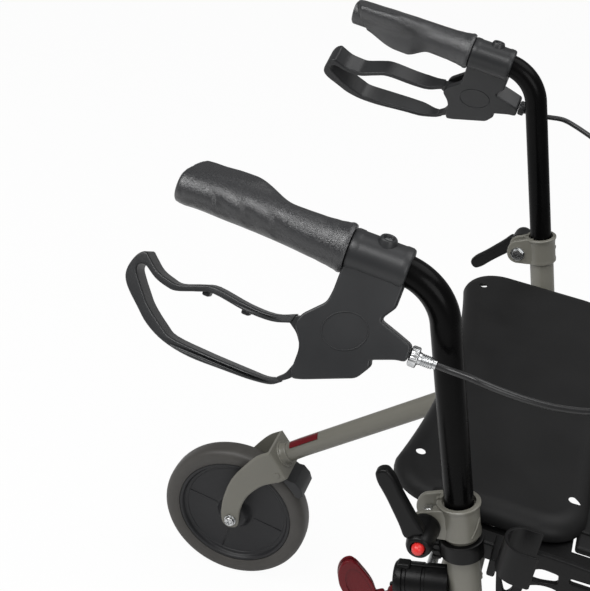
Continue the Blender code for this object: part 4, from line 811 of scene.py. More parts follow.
def makeAxles():
    face = fork["half"] + gap
    top = face + bolt["washerThick"] + bolt["headThick"]
    half = [
        (0.0, top), (bolt["head"] - 0.0020, top - 0.0002), (bolt["head"] - 0.0006, top - 0.0010),
        (bolt["head"], top - 0.0022), (bolt["head"], face + bolt["washerThick"]),
        (bolt["washer"] - 0.0003, face + bolt["washerThick"]), (bolt["washer"], face + 0.0012), (bolt["washer"], face),
        (0.0050, face), (0.0050, 0.0),
    ]
    profile = half + [(radius, -height) for radius, height in reversed(half)][1:]
    tools = []
    for turn in (0, 90):
        for end in (-1, 1):
            tool = block((-bolt["slot"], -0.0045, top - 0.0022), (bolt["slot"], 0.0045, top + 0.002), 0.0003, 1)
            moved(tool, Matrix.Rotation(math.radians(turn + 20), 4, "Z"))
            tools.append(moved(tool, Matrix.Diagonal((1.0, 1.0, end, 1.0))))
    for tool in tools:
        bmesh.ops.recalc_face_normals(tool, faces=tool.faces)
    screw = cutBy(lathe(profile, steps=40), *tools)
    for name, x, y, body, node in (
        ("rearAxle", rearLeg["wheelX"], axle["rearY"], "rear_frame", "rear_axle_{}"),
        ("frontAxle", post["x"], axle["frontY"], "caster_{}", "front_axle_{}"),
    ):
        shape = moved(screw.copy(), outward(x, y, axle["z"]))
        pairOf(name, shape, "zinc", body, [node])
    screw.free()


# wheels: a foam tyre on a dished disc with four shallow ribs and a raised centre
wheel = {"radius": 0.100, "web": 0.0060, "ribs": 4, "ribTurn": -8.0}


def makeWheels():
    side = [
        (0.0793, 0.0130), (0.0806, 0.0140), (0.0830, 0.0150), (0.0862, 0.0157), (0.0892, 0.0160), (0.0924, 0.0157),
        (0.0952, 0.0147), (0.0974, 0.0130), (0.0989, 0.0107), (0.0997, 0.0075), (0.1000, 0.0035),
    ]
    tyre = lathe(side + [(r, -h) for r, h in reversed(side)], steps=112, ring=True)
    face = [
        (0.0790, 0.0118), (0.0786, 0.0126), (0.0776, 0.0130), (0.0758, 0.0130), (0.0748, 0.0124), (0.0738, 0.0098),
        (0.0728, 0.0082), (0.0716, 0.0075), (0.0690, 0.0074), (0.0684, 0.0066), (0.0670, 0.0061), (0.0300, 0.0064),
        (0.0262, 0.0070), (0.0238, 0.0092), (0.0212, 0.0138), (0.0186, 0.0186), (0.0172, 0.0204), (0.0160, 0.0210),
        (0.0062, 0.0210), (0.0058, 0.0205),
    ]
    disc = lathe(face + [(r, -h) for r, h in reversed(face)], steps=112, ring=True)
    ribs = []
    for index in range(wheel["ribs"]):
        turn = math.radians(wheel["ribTurn"] + 360 / wheel["ribs"] * index)
        for side in (-1, 1):
            rib = plate(
                ((0.0255, -0.0016), (0.040, -0.0011), (0.0680, -0.0007), (0.0680, 0.0007), (0.040, 0.0011),
                 (0.0255, 0.0016)),
                0.0030, Matrix.Translation((0.0, 0.0, side * (wheel["web"] - 0.0004))), 0.0006,
            )
            ribs.append(moved(rib, Matrix.Rotation(turn, 4, "Z")))
    hub = together(disc, *ribs)
    for name, x, y, body in (
        ("rear", rearLeg["wheelX"], axle["rearY"], "rear_wheel_{}"),
        ("front", post["x"], axle["frontY"], "front_wheel_{}"),
    ):
        spot = outward(x, y, axle["z"])
        pairOf(name + "Tyre", moved(tyre.copy(), spot), "tyre", body, [name + "_tyre_{}"], even=False)
        pairOf(name + "Hub", moved(hub.copy(), spot), "hub", body, [name + "_hub_{}"], even=False)
    tyre.free()
    hub.free()


# brake shoes on a pin across the fork, pulled onto the tread
shoe = {"pin": (-0.0505, 0.0965), "gap": 0.0035, "angles": (122, 126, 130, 134, 137, 140)}
shoeBack = ((142, 0.008), (141, 0.014), (136, 0.017), (130, 0.0165), (127.5, 0.012), (124, 0.0105))


def makeBrakeShoes():
    def spot(angle, above):
        reach = wheel["radius"] + above
        return reach * math.cos(math.radians(angle)), reach * math.sin(math.radians(angle))

    outline = [spot(angle, shoe["gap"]) for angle in shoe["angles"]] + [spot(*back) for back in shoeBack]
    for angle in (80, 50, 20, -10, -40, -65):
        turn = math.radians(angle)
        outline.append((shoe["pin"][0] + 0.0048 * math.cos(turn), shoe["pin"][1] + 0.0048 * math.sin(turn)))
    half = fork["half"] - fork["wall"] - 0.003
    arm = plate(outline, 2 * half, sideOn(rearLeg["wheelX"], axle["rearY"], axle["z"]), 0.0008)
    pin = brakePin()
    reach = Vector((half + 0.0012, 0.0, 0.0))
    collar = rod(pin - reach, pin + reach, 0.0052, 24, 0.0006)
    pairOf("brakeShoe", together(arm, collar), "moulded", "brake_arm_{}", ["brake_arm_{}"])


def makePivots():
    inner, outer = -post["x"] - post["radius"] - gap, -rearLeg["x"] + post["radius"] + gap
    spacer = -post["x"] + post["radius"] + gap
    body = lathe(
        [
            (0.0, outer + 0.0050), (0.0045, outer + 0.0049), (0.0066, outer + 0.0040), (0.0075, outer + 0.0024),
            (0.0075, outer), (0.0040, outer), (0.0040, spacer + 0.0024), (0.0075, spacer + 0.0024), (0.0075, spacer),
            (0.0040, spacer), (0.0040, inner), (0.0, inner),
        ],
        outward(0.0, pivot.y, pivot.z),
    )
    nut = plate(
        [(0.0078 * math.cos(math.radians(60 * k)), 0.0078 * math.sin(math.radians(60 * k))) for k in range(6)],
        0.0050, outward(0.0, pivot.y, pivot.z) @ Matrix.Translation((0, 0, inner - 0.0025)), 0.0006,
    )
    pairOf("pivotBolt", together(body, nut), "zinc", "front_frame", ["pivot_bolt_{}"])


makeFrontLegs()
makeCrossTubes()
makeRearLegs()
makeForks()
makeAxles()
makeWheels()
makeBrakeShoes()
makePivots()
print("frame, forks and wheels made")


def rounded(outline, radius, steps=3):
    # a closed outline with its corners rounded, less where its sides are short
    points = [Vector((*spot, 0.0)) for spot in outline]
    path = []
    for index, corner in enumerate(points):
        before, after = points[index - 1] - corner, points[(index + 1) % len(points)] - corner
        reach = min(radius, before.length * 0.45, after.length * 0.45)
        start, end = corner + before.normalized() * reach, corner + after.normalized() * reach
        for step in range(steps + 1):
            t = step / steps
            path.append(start * (1 - t) ** 2 + corner * 2 * t * (1 - t) + end * t**2)
    return flat(path)


def between(keys, at):
    # an eased value between (place, value) keys
    for (low, first), (high, last) in zip(keys, keys[1:]):
        if at <= high:
            share = max(0.0, (at - low) / (high - low))
            share = share * share * (3 - 2 * share)
            return first + (last - first) * share
    return keys[-1][1]


# handles: bent tubes that slide in the posts
handle = {"insert": 0.130, "radius": 0.011, "bend": 0.044, "tip": 0.190}


def makeHandleTubes():
    path = bent((postPoint(-handle["insert"]), grip["corner"], inGrip(handle["tip"], 0.0)), handle["bend"], 20)
    tube = sweep(framesAlong(path), handle["radius"], sides=44)
    pairOf("handleTube", tube, "tube", "handle_{}", ["handle_tube_{}"], even=False)


# grips: a round body with finger dents, a palm wing that winds round it, and a slanted lip before the end cap
gripShape = {
    "body": (
        (0.0675, 0.0172), (0.0690, 0.0179), (0.0706, 0.0180), (0.0725, 0.0173), (0.0790, 0.0162), (0.0900, 0.0154),
        (0.1050, 0.0151), (0.1250, 0.0150), (0.1500, 0.0145), (0.1750, 0.0138), (0.1850, 0.0135), (0.1905, 0.0130),
        (0.1925, 0.0120), (0.1938, 0.0100),
    ),
    "crest": ((0.110, 0.0), (0.148, 0.0128), (0.183, 0.0126), (0.195, 0.0020)),
    "top": 0.8367,
    "wing": ((0.107, 0.0), (0.129, 0.0100), (0.140, 0.0100), (0.184, 0.0)),
    "tuck": ((0.078, 0.0), (0.135, 0.0029), (0.175, 0.0026), (0.190, 0.0012)),
    "dents": (0.1185, 0.1400, 0.1615),
    "dentDepth": 0.0025,
    "lip": 0.1838,
    "rings": 112,
}


def gripRadius(u, turn):
    # turn runs from the top towards the inner side
    crest = math.exp(-(((turn + 180.0) % 360.0 - 238.0) / 30.0) ** 2)
    away = turn - 146.0
    flank = max(0.0, 1 + away / 80.0) ** 2 if away < 0 else max(0.0, 1 - away / 24.0)
    radius = between(gripShape["body"], u) + between(gripShape["crest"], u) * crest
    radius += between(gripShape["wing"], u) * flank
    radius -= between(gripShape["tuck"], u) * math.exp(-(((turn - 228.0) / 52.0) ** 2))
    outer = math.exp(-(((turn - 276.0) / 36.0) ** 2))
    for dent in gripShape["dents"]:
        past = u - dent - 0.00008 * (turn - 276.0)
        radius -= gripShape["dentDepth"] * outer * math.exp(-((past / (0.0026 if past > 0 else 0.0080)) ** 2))
    # past its slanted lip the sleeve steps in to a plain end
    lip = gripShape["lip"] + 0.0095 * math.cos(math.radians(turn + 8.0))
    share = min(1.0, max(0.0, (u - lip) / 0.0014))
    radius -= share * max(0.0, radius - 0.0124)
    return max(radius, min(0.0114, between(gripShape["body"], u)))


def makeGrips():
    body = gripShape["body"]
    heights = [spot[0] for spot in body[:5]]
    heights += [0.0735 + (0.1900 - 0.0735) * step / gripShape["rings"] for step in range(1, gripShape["rings"])]
    heights += [0.1900, 0.1913, 0.1925, 0.1933, 0.1938]
    profile = [(0.0, 0.0675)] + [(between(body, u), u) for u in heights] + [(0.0045, 0.1940), (0.0, 0.1940)]
    form = lathe(profile, steps=96)
    for vert in form.verts:
        reach = math.hypot(vert.co.x, vert.co.y)
        if reach > 0.006:
            # the lathe's angle, measured from the top
            turn = math.degrees(math.atan2(vert.co.x, -vert.co.y)) % 360.0
            scale = gripRadius(vert.co.z, turn) / reach
            limit = (gripShape["top"] - grip["corner"].z - vert.co.z * gripAlong.z) / gripUp.z
            vert.co.x *= scale
            vert.co.y = max(vert.co.y * scale, -limit)
    pairOf("grip", moved(form, gripFrame), "grip", "handle_{}", ["grip_{}"], sharp=50.0, even=False)


# brake housings: two flat cheeks with a slot for the lever between them, on a collar round the tube
housing = {"half": 0.010, "slotHalf": 0.0045, "pin": (0.0489, 0.0508), "screwAt": 0.044}
housingOutline = (
    (0.0672, 0.0080), (0.0672, 0.0300), (0.0685, 0.0387), (0.0815, 0.0523), (0.0840, 0.0600),
    (0.0775, 0.0690), (0.0750, 0.0760), (0.0750, 0.0909), (0.0729, 0.0964), (0.0657, 0.0944),
    (0.0316, 0.0802), (0.0253, 0.0699), (0.0271, 0.0651), (0.0108, 0.0587), (0.0040, 0.0579),
    (0.0040, 0.0465), (0.0150, 0.0425), (0.0305, 0.0375), (0.0266, 0.0313), (0.0236, 0.0270),
    (0.0235, 0.0080),
)
slotOutline = ((0.0330, 0.0370), (0.110, 0.0370), (0.110, 0.120), (0.0500, 0.120), (0.0330, 0.0650))


def makeHousings():
    cheeks = plate(rounded(housingOutline, 0.0030), 2 * housing["half"], Matrix(), 0.0021, 3)
    slot = plate(slotOutline, 2 * housing["slotHalf"])
    body = cutBy(cheeks, slot)
    # the bare raised oval on each cheek, over the lever's pin
    u, v = housing["pin"]
    lean = math.radians(24.0)
    loops = [[], []]
    for step in range(40):
        angle = 2 * math.pi * step / 40
        for loop, less in zip(loops, (0.0, 0.0007)):
            across, down = (0.0163 - less) * math.cos(angle), (0.0134 - less) * math.sin(angle)
            turned = across * math.cos(lean) - down * math.sin(lean)
            loop.append((turned, across * math.sin(lean) + down * math.cos(lean)))
    badges = []
    for side in (-1.0, 1.0):
        spot = Matrix.Translation((u + 0.0010, v + 0.0020, side * housing["half"]))
        badges.append(flatCurve(loops[0], [loops[1]], 0.0010, spot, 0.0002))
    cheeksAndOvals = moved(together(body, *badges), housingFrame)
    collar = lathe(
        [
            (0.0113, 0.0240), (0.0140, 0.0240), (0.0150, 0.0246), (0.0157, 0.0262), (0.0158, 0.0300), (0.0154, 0.0312),
            (0.0154, 0.0600), (0.0158, 0.0612), (0.0159, 0.0650), (0.0153, 0.0668), (0.0140, 0.0672), (0.0113, 0.0672),
        ],
        gripFrame, 56, ring=True,
    )
    # screw boss on top, with the screw sunk in it
    top = gripFrame @ Matrix.Translation((0.0, 0.0, housing["screwAt"])) @ Matrix.Rotation(math.radians(90), 4, "X")
    boss = lathe(
        [
            (0.0, 0.0120), (0.0078, 0.0120), (0.0070, 0.0150), (0.0062, 0.0176), (0.0056, 0.0184), (0.0040, 0.0185),
            (0.0036, 0.0180), (0.0035, 0.0165), (0.0, 0.0165),
        ],
        top, 32,
    )
    pairOf("brakeHousing", together(cheeksAndOvals, collar, boss), "moulded", "handle_{}", ["brake_housing_{}"])
    screw = lathe([(0.0, 0.0168), (0.0022, 0.0172), (0.0032, 0.0168), (0.0033, 0.0160), (0.0, 0.0160)], top, 24)
    pairOf("bossScrew", screw, "zinc", "handle_{}")

    half = housing["half"] - 0.0004
    spot = housingFrame @ Matrix.Translation((u, v, 0.0))
    pin = lathe([(0.0, -half), (0.0030, -half), (0.0030, half), (0.0, half)], spot, 28)
    pairOf("leverPin", pin, "zinc", "handle_{}", ["lever_pin_{}"])


# cable adjusters: knurled ring, threaded barrel and neck, bright on the near side and black on the far one
def makeAdjusters():
    spot = gripFrame.copy()
    spot.translation = inGrip(0.0040 - gap, cable["drop"])
    profile = [
        (0.0, 0.0), (0.0062, 0.0), (0.0068, -0.0006), (0.0072, -0.0014), (0.0072, -0.0052), (0.0067, -0.0060),
        (0.0048, -0.0064), (0.0044, -0.0072),
    ]
    for turn in range(6):
        start = -0.0080 - 0.0013 * turn
        profile += [(0.0044, start), (0.0039, start - 0.0005)]
    profile += [(0.0041, -0.0162), (0.0033, -0.0167), (0.0033, -0.0190), (0.0, -0.0190)]
    form = lathe(profile, steps=72)
    for vert in form.verts:
        reach = math.hypot(vert.co.x, vert.co.y)
        if reach > 0.0066:
            ripple = 1.0 + 0.035 * math.cos(18 * math.atan2(vert.co.y, vert.co.x))
            vert.co.x *= ripple
            vert.co.y *= ripple
    form = moved(form, spot)
    mirror = otherSide(form)
    finishPiece("cableAdjusterRight", form, "zinc", "handle_right", ["cable_adjuster_right"], sharp=50.0)
    finishPiece("cableAdjusterLeft", mirror, "moulded", "handle_left", ["cable_adjuster_left"], sharp=50.0)


# brake levers: a flat strap bent to a loop, its tip turned inwards, on a tang in the housing's slot
lever = {
    "half": 0.009, "tangHalf": 0.004, "tipBend": 0.015, "root": 0.0850, "tip": 0.2102,
    "width": ((0.0800, 0.46), (0.1050, 1.0)),
}
loopOuter = (
    (0.0850, 0.0545), (0.0995, 0.0601), (0.1187, 0.0603), (0.1441, 0.0572), (0.1561, 0.0599), (0.1706, 0.0649),
    (0.1790, 0.0640), (0.1884, 0.0612), (0.1970, 0.0549), (0.2015, 0.0520), (0.2068, 0.0561), (0.2102, 0.0646),
    (0.2102, 0.0727), (0.2052, 0.0804), (0.1940, 0.0900), (0.1825, 0.0991), (0.1668, 0.1059), (0.1459, 0.1091),
    (0.1200, 0.1086), (0.0976, 0.1078), (0.0854, 0.1062), (0.0790, 0.1020),
)
loopInner = (
    (0.0840, 0.1010), (0.0900, 0.1026), (0.1000, 0.1030), (0.1200, 0.1028), (0.1366, 0.1025), (0.1617, 0.1012),
    (0.1717, 0.0965), (0.1853, 0.0872), (0.1925, 0.0798), (0.1997, 0.0716), (0.2036, 0.0660), (0.2025, 0.0615),
    (0.1980, 0.0612), (0.1884, 0.0668), (0.1790, 0.0695), (0.1706, 0.0699), (0.1561, 0.0649), (0.1441, 0.0620),
    (0.1187, 0.0652), (0.0995, 0.0650), (0.0870, 0.0615),
)
tang = (
    (0.0440, 0.0440), (0.0489, 0.0425), (0.0620, 0.0450), (0.0800, 0.0540), (0.0900, 0.0570),
    (0.0890, 0.0610), (0.0810, 0.0665), (0.0760, 0.0740), (0.0745, 0.0845), (0.0785, 0.0955),
    (0.0840, 0.1005), (0.0830, 0.1040), (0.0740, 0.0975), (0.0660, 0.0860), (0.0560, 0.0700),
    (0.0440, 0.0590), (0.0405, 0.0510),
)


def makeLevers():
    outline = []
    for run in (loopOuter, loopInner):
        outline += flat(through([(*spot, 0.0) for spot in run], 4))
    strap = flatCurve(outline, [], 2 * lever["half"], soft=0.0013)
    nubs = [
        block((0.1160, 0.0640, -0.0050), (0.1222, 0.0680, 0.0050), 0.0012, 2),
        block((0.1475, 0.0620, -0.0050), (0.1530, 0.0660, 0.0050), 0.0012, 2),
    ]
    web = plate(rounded(tang, 0.0030), 2 * lever["tangHalf"], Matrix(), 0.0011, 2)
    whole = together(strap, *nubs)
    for vert in whole.verts:
        share = max(0.0, (vert.co.x - lever["root"]) / (lever["tip"] - lever["root"]))
        width = between(lever["width"], vert.co.x) + 0.35 * share**2
        vert.co.z = vert.co.z * width - lever["tipBend"] * share**2
    whole = moved(together(whole, web), housingFrame)
    pairOf("brakeLever", whole, "moulded", "brake_lever_{}", ["brake_lever_{}"])


# height clamps: a split collar with two ears, and a lever with a push button
clamp = {
    "screw": (0.0235, -0.0120), "earRadius": 0.0115, "hubIn": 0.2523, "hubOut": 0.2803, "armLength": 0.068,
    "angles": {"right": math.radians(53.0), "left": math.radians(-47.5)},
}
earSide = postFrame @ Matrix(((0, 0, 1), (1, 0, 0), (0, 1, 0))).to_4x4()


def makeCollars():
    ring = lathe(
        [
            (0.0128, -0.0250), (0.0144, -0.0250), (0.0152, -0.0242), (0.0153, -0.0212), (0.0148, -0.0202),
            (0.0148, -0.0040), (0.0152, -0.0010), (0.0156, 0.0010), (0.0163, 0.0020), (0.0163, 0.0032),
            (0.0155, 0.0040), (0.0128, 0.0040),
        ],
        steps=64, ring=True,
    )
    split = block((-0.0014, 0.0040, -0.0500), (0.0014, 0.0400, 0.0200), 0.0002, 1)
    ring = moved(cutBy(ring, split), postFrame)
    y, z = clamp["screw"]
    wide = clamp["earRadius"]
    outline = [(0.0065, 0.0015), (0.0150, 0.0012)]
    for step in range(17):
        angle = math.radians(90 - 180 * step / 16)
        outline.append((y + wide * math.cos(angle), z + wide * math.sin(angle)))
    outline += [(0.0150, -0.0245), (0.0065, -0.0250)]
    tall = [(a, b + 0.0030 * min(1.0, max(0.0, (b + 0.012) / 0.0115))) for a, b in outline]
    ears = []
    for shape, side in ((outline, -1.0), (tall, 1.0)):
        ears.append(plate(shape, 0.0042, earSide @ Matrix.Translation((0.0, 0.0, side * 0.0098)), 0.0012, 3))
        ears.append(block((side * 0.0040, 0.0100, -0.0245), (side * 0.0116, 0.0185, 0.0012), 0.0012))
    for part in ears[1::2]:
        moved(part, postFrame)
    seam = []
    for step in range(6):
        angle = math.radians(222 + 8 * step)
        seam.append(Vector((0.0149 * math.cos(angle), 0.0149 * math.sin(angle), -0.0215 + 0.0026 * step)))
    ridge = moved(sweep(framesAlong(seam), 0.0008, sides=10), postFrame)
    pairOf("clampCollar", together(ring, *ears, ridge), "taupe", "front_frame", ["clamp_collar_{}"])


def makeClampLevers():
    at = postPoint(-0.0120, 0.0235)
    inner = 0.2277
    screw = lathe([(0.0, inner), (0.0030, inner), (0.0030, 0.2660), (0.0, 0.2660)], outward(0.0, at.y, at.z), 24)
    washer = lathe(
        [(0.0, inner), (0.0074, inner), (0.0076, inner - 0.0004), (0.0074, inner - 0.0012), (0.0, inner - 0.0012)],
        outward(0.0, at.y, at.z), 32,
    )
    nut = plate(
        [(0.0062 * math.cos(math.radians(60 * k)), 0.0062 * math.sin(math.radians(60 * k))) for k in range(6)],
        0.0036, outward(0.0, at.y, at.z) @ Matrix.Translation((0.0, 0.0, inner - 0.0030)), 0.0005,
    )
    sleeve = lathe(
        [
            (0.0, 0.2330), (0.0052, 0.2330), (0.0056, 0.2336), (0.0056, 0.2392), (0.0050, 0.2398), (0.0050, 0.2412),
            (0.0066, 0.2416), (0.0068, 0.2422), (0.0068, 0.2458), (0.0064, 0.2464), (0.0, 0.2464),
        ],
        outward(0.0, at.y, at.z), 32,
    )
    pairOf("clampBolt", together(screw, washer, nut, sleeve), "zinc", "front_frame", ["clamp_bolt_{}"])

    low, high = clamp["hubIn"], clamp["hubOut"]
    across = outward(0.0, 0.0, 0.0)
    hub = lathe(
        [
            (0.0, low), (0.0104, low), (0.0112, low + 0.0006), (0.0115, low + 0.0016), (0.0114, low + 0.0046),
            (0.0107, low + 0.0056), (0.0104, high - 0.0100), (0.0096, high - 0.0030), (0.0086, high - 0.0006),
            (0.0076, high), (0.0060, high), (0.0054, high - 0.0008), (0.0053, high - 0.0085), (0.0, high - 0.0085),
        ],
        across, 48,
    )
    arm = plate(
        rounded(
            (
                (0.0072, -0.0088), (0.020, -0.0070), (0.045, -0.0062), (0.059, -0.0069), (0.0665, -0.0050),
                (clamp["armLength"], 0.0), (0.0665, 0.0050), (0.059, 0.0069), (0.045, 0.0062), (0.020, 0.0070),
                (0.0072, 0.0088),
            ),
            0.0050,
        ),
        0.0090, sideOn(-high + 0.0075, 0.0, 0.0), 0.0024, 4,
    )
    button = lathe(
        [
            (0.0, high + 0.0048), (0.0016, high + 0.0047), (0.0031, high + 0.0039), (0.0041, high + 0.0026),
            (0.0047, high + 0.0006), (0.0048, high - 0.0020), (0.0048, high - 0.0050), (0.0, high - 0.0050),
        ],
        across, 36,
    )
    turnedPair("clampLever", together(hub, arm), "rack", at, "clamp_lever_{}")
    turnedPair("clampButton", button, "button", at, "clamp_button_{}")


def turnedPair(name, form, finish, at, node):
    # each side's lever stands at its own angle
    mirror = otherSide(form)
    for side, shape in (("right", form), ("left", mirror)):
        turn = Matrix.Translation((0.0, at.y, at.z)) @ Matrix.Rotation(clamp["angles"][side], 4, "X")
        finishPiece(name + side.capitalize(), moved(shape, turn), finish, node.format(side), [node.format(side)])


makeHandleTubes()
makeGrips()
makeHousings()
makeAdjusters()
makeLevers()
makeCollars()
makeClampLevers()
print("handles, brake levers and clamps made")


def stepped(outline, low, high, topSteps, bottomSteps):
    # a flat slab whose two faces are drawn in and moved, step by step: (inset, rise) each
    form = plate(outline, high - low, Matrix.Translation((0.0, 0.0, (low + high) / 2)))
    form.faces.ensure_lookup_table()
    caps = sorted(form.faces, key=lambda part: len(part.verts))[-2:]
    caps.sort(key=lambda part: part.calc_center_median().z)
    for cap, steps in zip(caps, (bottomSteps, topSteps)):
        for inset, rise in steps:
            bmesh.ops.inset_region(form, faces=[cap], thickness=inset, depth=rise, use_even_offset=True)
    return form


# seat: a moulded panel with a rolled skirt, hooked on the hinge tube and resting on the tube behind
seat = {
    "top": 0.607, "half": 0.197, "back": 0.060, "front": -0.100, "corner": 0.040, "hollow": 0.014,
    "roll": (0.018, 0.0145), "holes": (0.1535, (0.042, -0.0845)), "bracket": 0.120,
}
hinge = legPoint(0.190, 0.0)
boltPlace = postPoint(-0.0744, 0.030)


def seatOutline():
    half, back, front, corner = seat["half"], seat["back"], seat["front"], seat["corner"]
    points = []
    turns = (
        (half - corner, front + corner, -90), (half - corner, back - corner, 0),
        (-half + corner, back - corner, 90), (-half + corner, front + corner, 180),
    )
    for x, y, start in turns:
        for step in range(13):
            angle = math.radians(start + 7.5 * step)
            points.append((x + corner * math.cos(angle), y + corner * math.sin(angle) + post["y"]))
        if start == 0:
            for step in range(1, 24):
                across = 1 - step / 12
                dip = seat["hollow"] * (1 - across**2)
                points.append((across * (half - corner), back - dip + post["y"]))
    return points


def makeSeat():
    top = seat["top"]
    wide, high = seat["roll"]
    roll = []
    for step in range(9):
        low, up = math.radians(10 * step), math.radians(10 * step + 10)
        roll.append((wide * (math.cos(low) - math.cos(up)), high * (math.sin(up) - math.sin(low))))
    panel = stepped(
        seatOutline(), top - 0.0158, top - high, roll,
        ((0.0012, 0.0010), (0.0036, 0.0002), (0.0010, -0.0098), (0.0110, -0.0042)),
    )
    holes = []
    for x in (-seat["holes"][0], seat["holes"][0]):
        for y in seat["holes"][1]:
            spot = Matrix.Translation((x, y + post["y"], top))
            hole = [(0.0, 0.001), (0.0045, 0.001), (0.0039, -0.0005), (0.0085, -0.0031), (0.0085, -0.03), (0.0, -0.03)]
            holes.append(lathe(hole, spot, 28))
    panel = cutBy(panel, *holes)

    # ribs under the thin panel, clear of the holes, and the flange it carries in front
    extras = []
    under, low = top - 0.0025, top - 0.0150
    front = post["y"] + seat["front"] + 0.0055
    for x in (-0.105, -0.063, -0.021, 0.021, 0.063, 0.105):
        extras.append(block((x - 0.0030, front + 0.004, low), (x + 0.0030, post["y"] + 0.030, under), 0.0011))
    for y in (-0.060, 0.000):
        extras.append(block((-0.165, post["y"] + y - 0.003, low), (0.165, post["y"] + y + 0.003, under), 0.0011))
    extras.append(block((-0.190, hinge.y + 0.016, top - 0.0220), (0.190, front, top - 0.0150), 0.0026, 3))
    for x in (-0.170, -0.075, -0.025, 0.025, 0.075, 0.170):
        extras.append(block((x - 0.0020, hinge.y + 0.022, top - 0.0160), (x + 0.0020, front, top - 0.0132), 0.0010, 2))
    tube = postPoint(-0.068, x=0.0)
    rest = tube.z + crossRadius + gap
    for x in (-0.150, 0.150):
        extras.append(block((x - 0.014, tube.y - 0.012, rest), (x + 0.014, tube.y + 0.012, top - 0.002), 0.0020, 3))
    hook = []
    for step in range(25):
        angle = math.radians(-54 + 288 * step / 24)
        hook.append((0.0150 * math.cos(angle), 0.0150 * math.sin(angle)))
    for step in range(21):
        angle = math.radians(219 - 258 * step / 20)
        hook.append((0.0113 * math.cos(angle), 0.0113 * math.sin(angle)))
    for x in (-seat["bracket"], seat["bracket"]):
        extras.append(plate(hook, 0.030, sideOn(x, hinge.y, hinge.z), 0.0009, 2))
        extras.append(block((x - 0.013, hinge.y + 0.0122, top - 0.0236), (x + 0.013, front, top - 0.0140), 0.0022, 3))
        for side in (-0.0085, 0.0085):
            rib = [(0.0130, -0.0070), (0.0640, -0.0115), (0.0640, -0.0150), (0.0450, -0.0172), (0.0130, -0.0190)]
            extras.append(plate(rib, 0.0030, sideOn(x + side, hinge.y, hinge.z), 0.0007, 2))
    # the lug that the lock's bolt enters
    edge = (
        (-0.0110, -0.0100), (0.0110, -0.0100), (0.0110, 0.0060), (0.0180, 0.0505), (-0.0180, 0.0505),
        (-0.0110, 0.0060),
    )
    lug = plate(rounded(edge, 0.0060), 0.0075, sideOn(-0.18875, boltPlace.y, boltPlace.z), 0.0010)
    lug = cutBy(lug, rod(boltPlace, boltPlace + Vector((0.08, 0.0, 0.0)), 0.0043, 28))
    finishPiece("seatPanel", together(panel, *extras, lug), "seat", "seat", ["seat"])


# side rack: a ring on the post, an arm, an open clip for the rear leg when folded, and a lattice
rackOutline = (
    (-0.0360, -0.0280), (-0.0640, -0.0180), (-0.0840, -0.0182), (-0.1130, -0.0195), (-0.1165, -0.0240),
    (-0.1250, -0.0640), (-0.1300, -0.0990), (-0.1180, -0.1050), (-0.0820, -0.1100), (-0.0640, -0.1060),
    (-0.0520, -0.0900), (-0.0440, -0.0640),
)
rackOpenings = (
    (
        (-0.0425, -0.0395), (-0.0470, -0.0330), (-0.0520, -0.0360), (-0.0550, -0.0450), (-0.0552, -0.0600),
        (-0.0510, -0.0660), (-0.0455, -0.0540),
    ),
    (
        (-0.0615, -0.0400), (-0.0690, -0.0312), (-0.0850, -0.0322), (-0.0855, -0.0405), (-0.0727, -0.0438),
        (-0.0640, -0.0435),
    ),
    (
        (-0.0625, -0.0520), (-0.0740, -0.0460), (-0.0890, -0.0462), (-0.0925, -0.0640), (-0.0925, -0.0850),
        (-0.0680, -0.0870), (-0.0625, -0.0700),
    ),
    ((-0.0925, -0.0318), (-0.1110, -0.0312), (-0.1125, -0.0362), (-0.0935, -0.0362)),
    (
        (-0.0955, -0.0462), (-0.1145, -0.0440), (-0.1190, -0.0640), (-0.1215, -0.0850), (-0.0990, -0.0860),
        (-0.0985, -0.0640),
    ),
    (
        (-0.0600, -0.0930), (-0.0660, -0.0940), (-0.1220, -0.0920), (-0.1160, -0.0990), (-0.0820, -0.1045),
        (-0.0680, -0.1010),
    ),
)


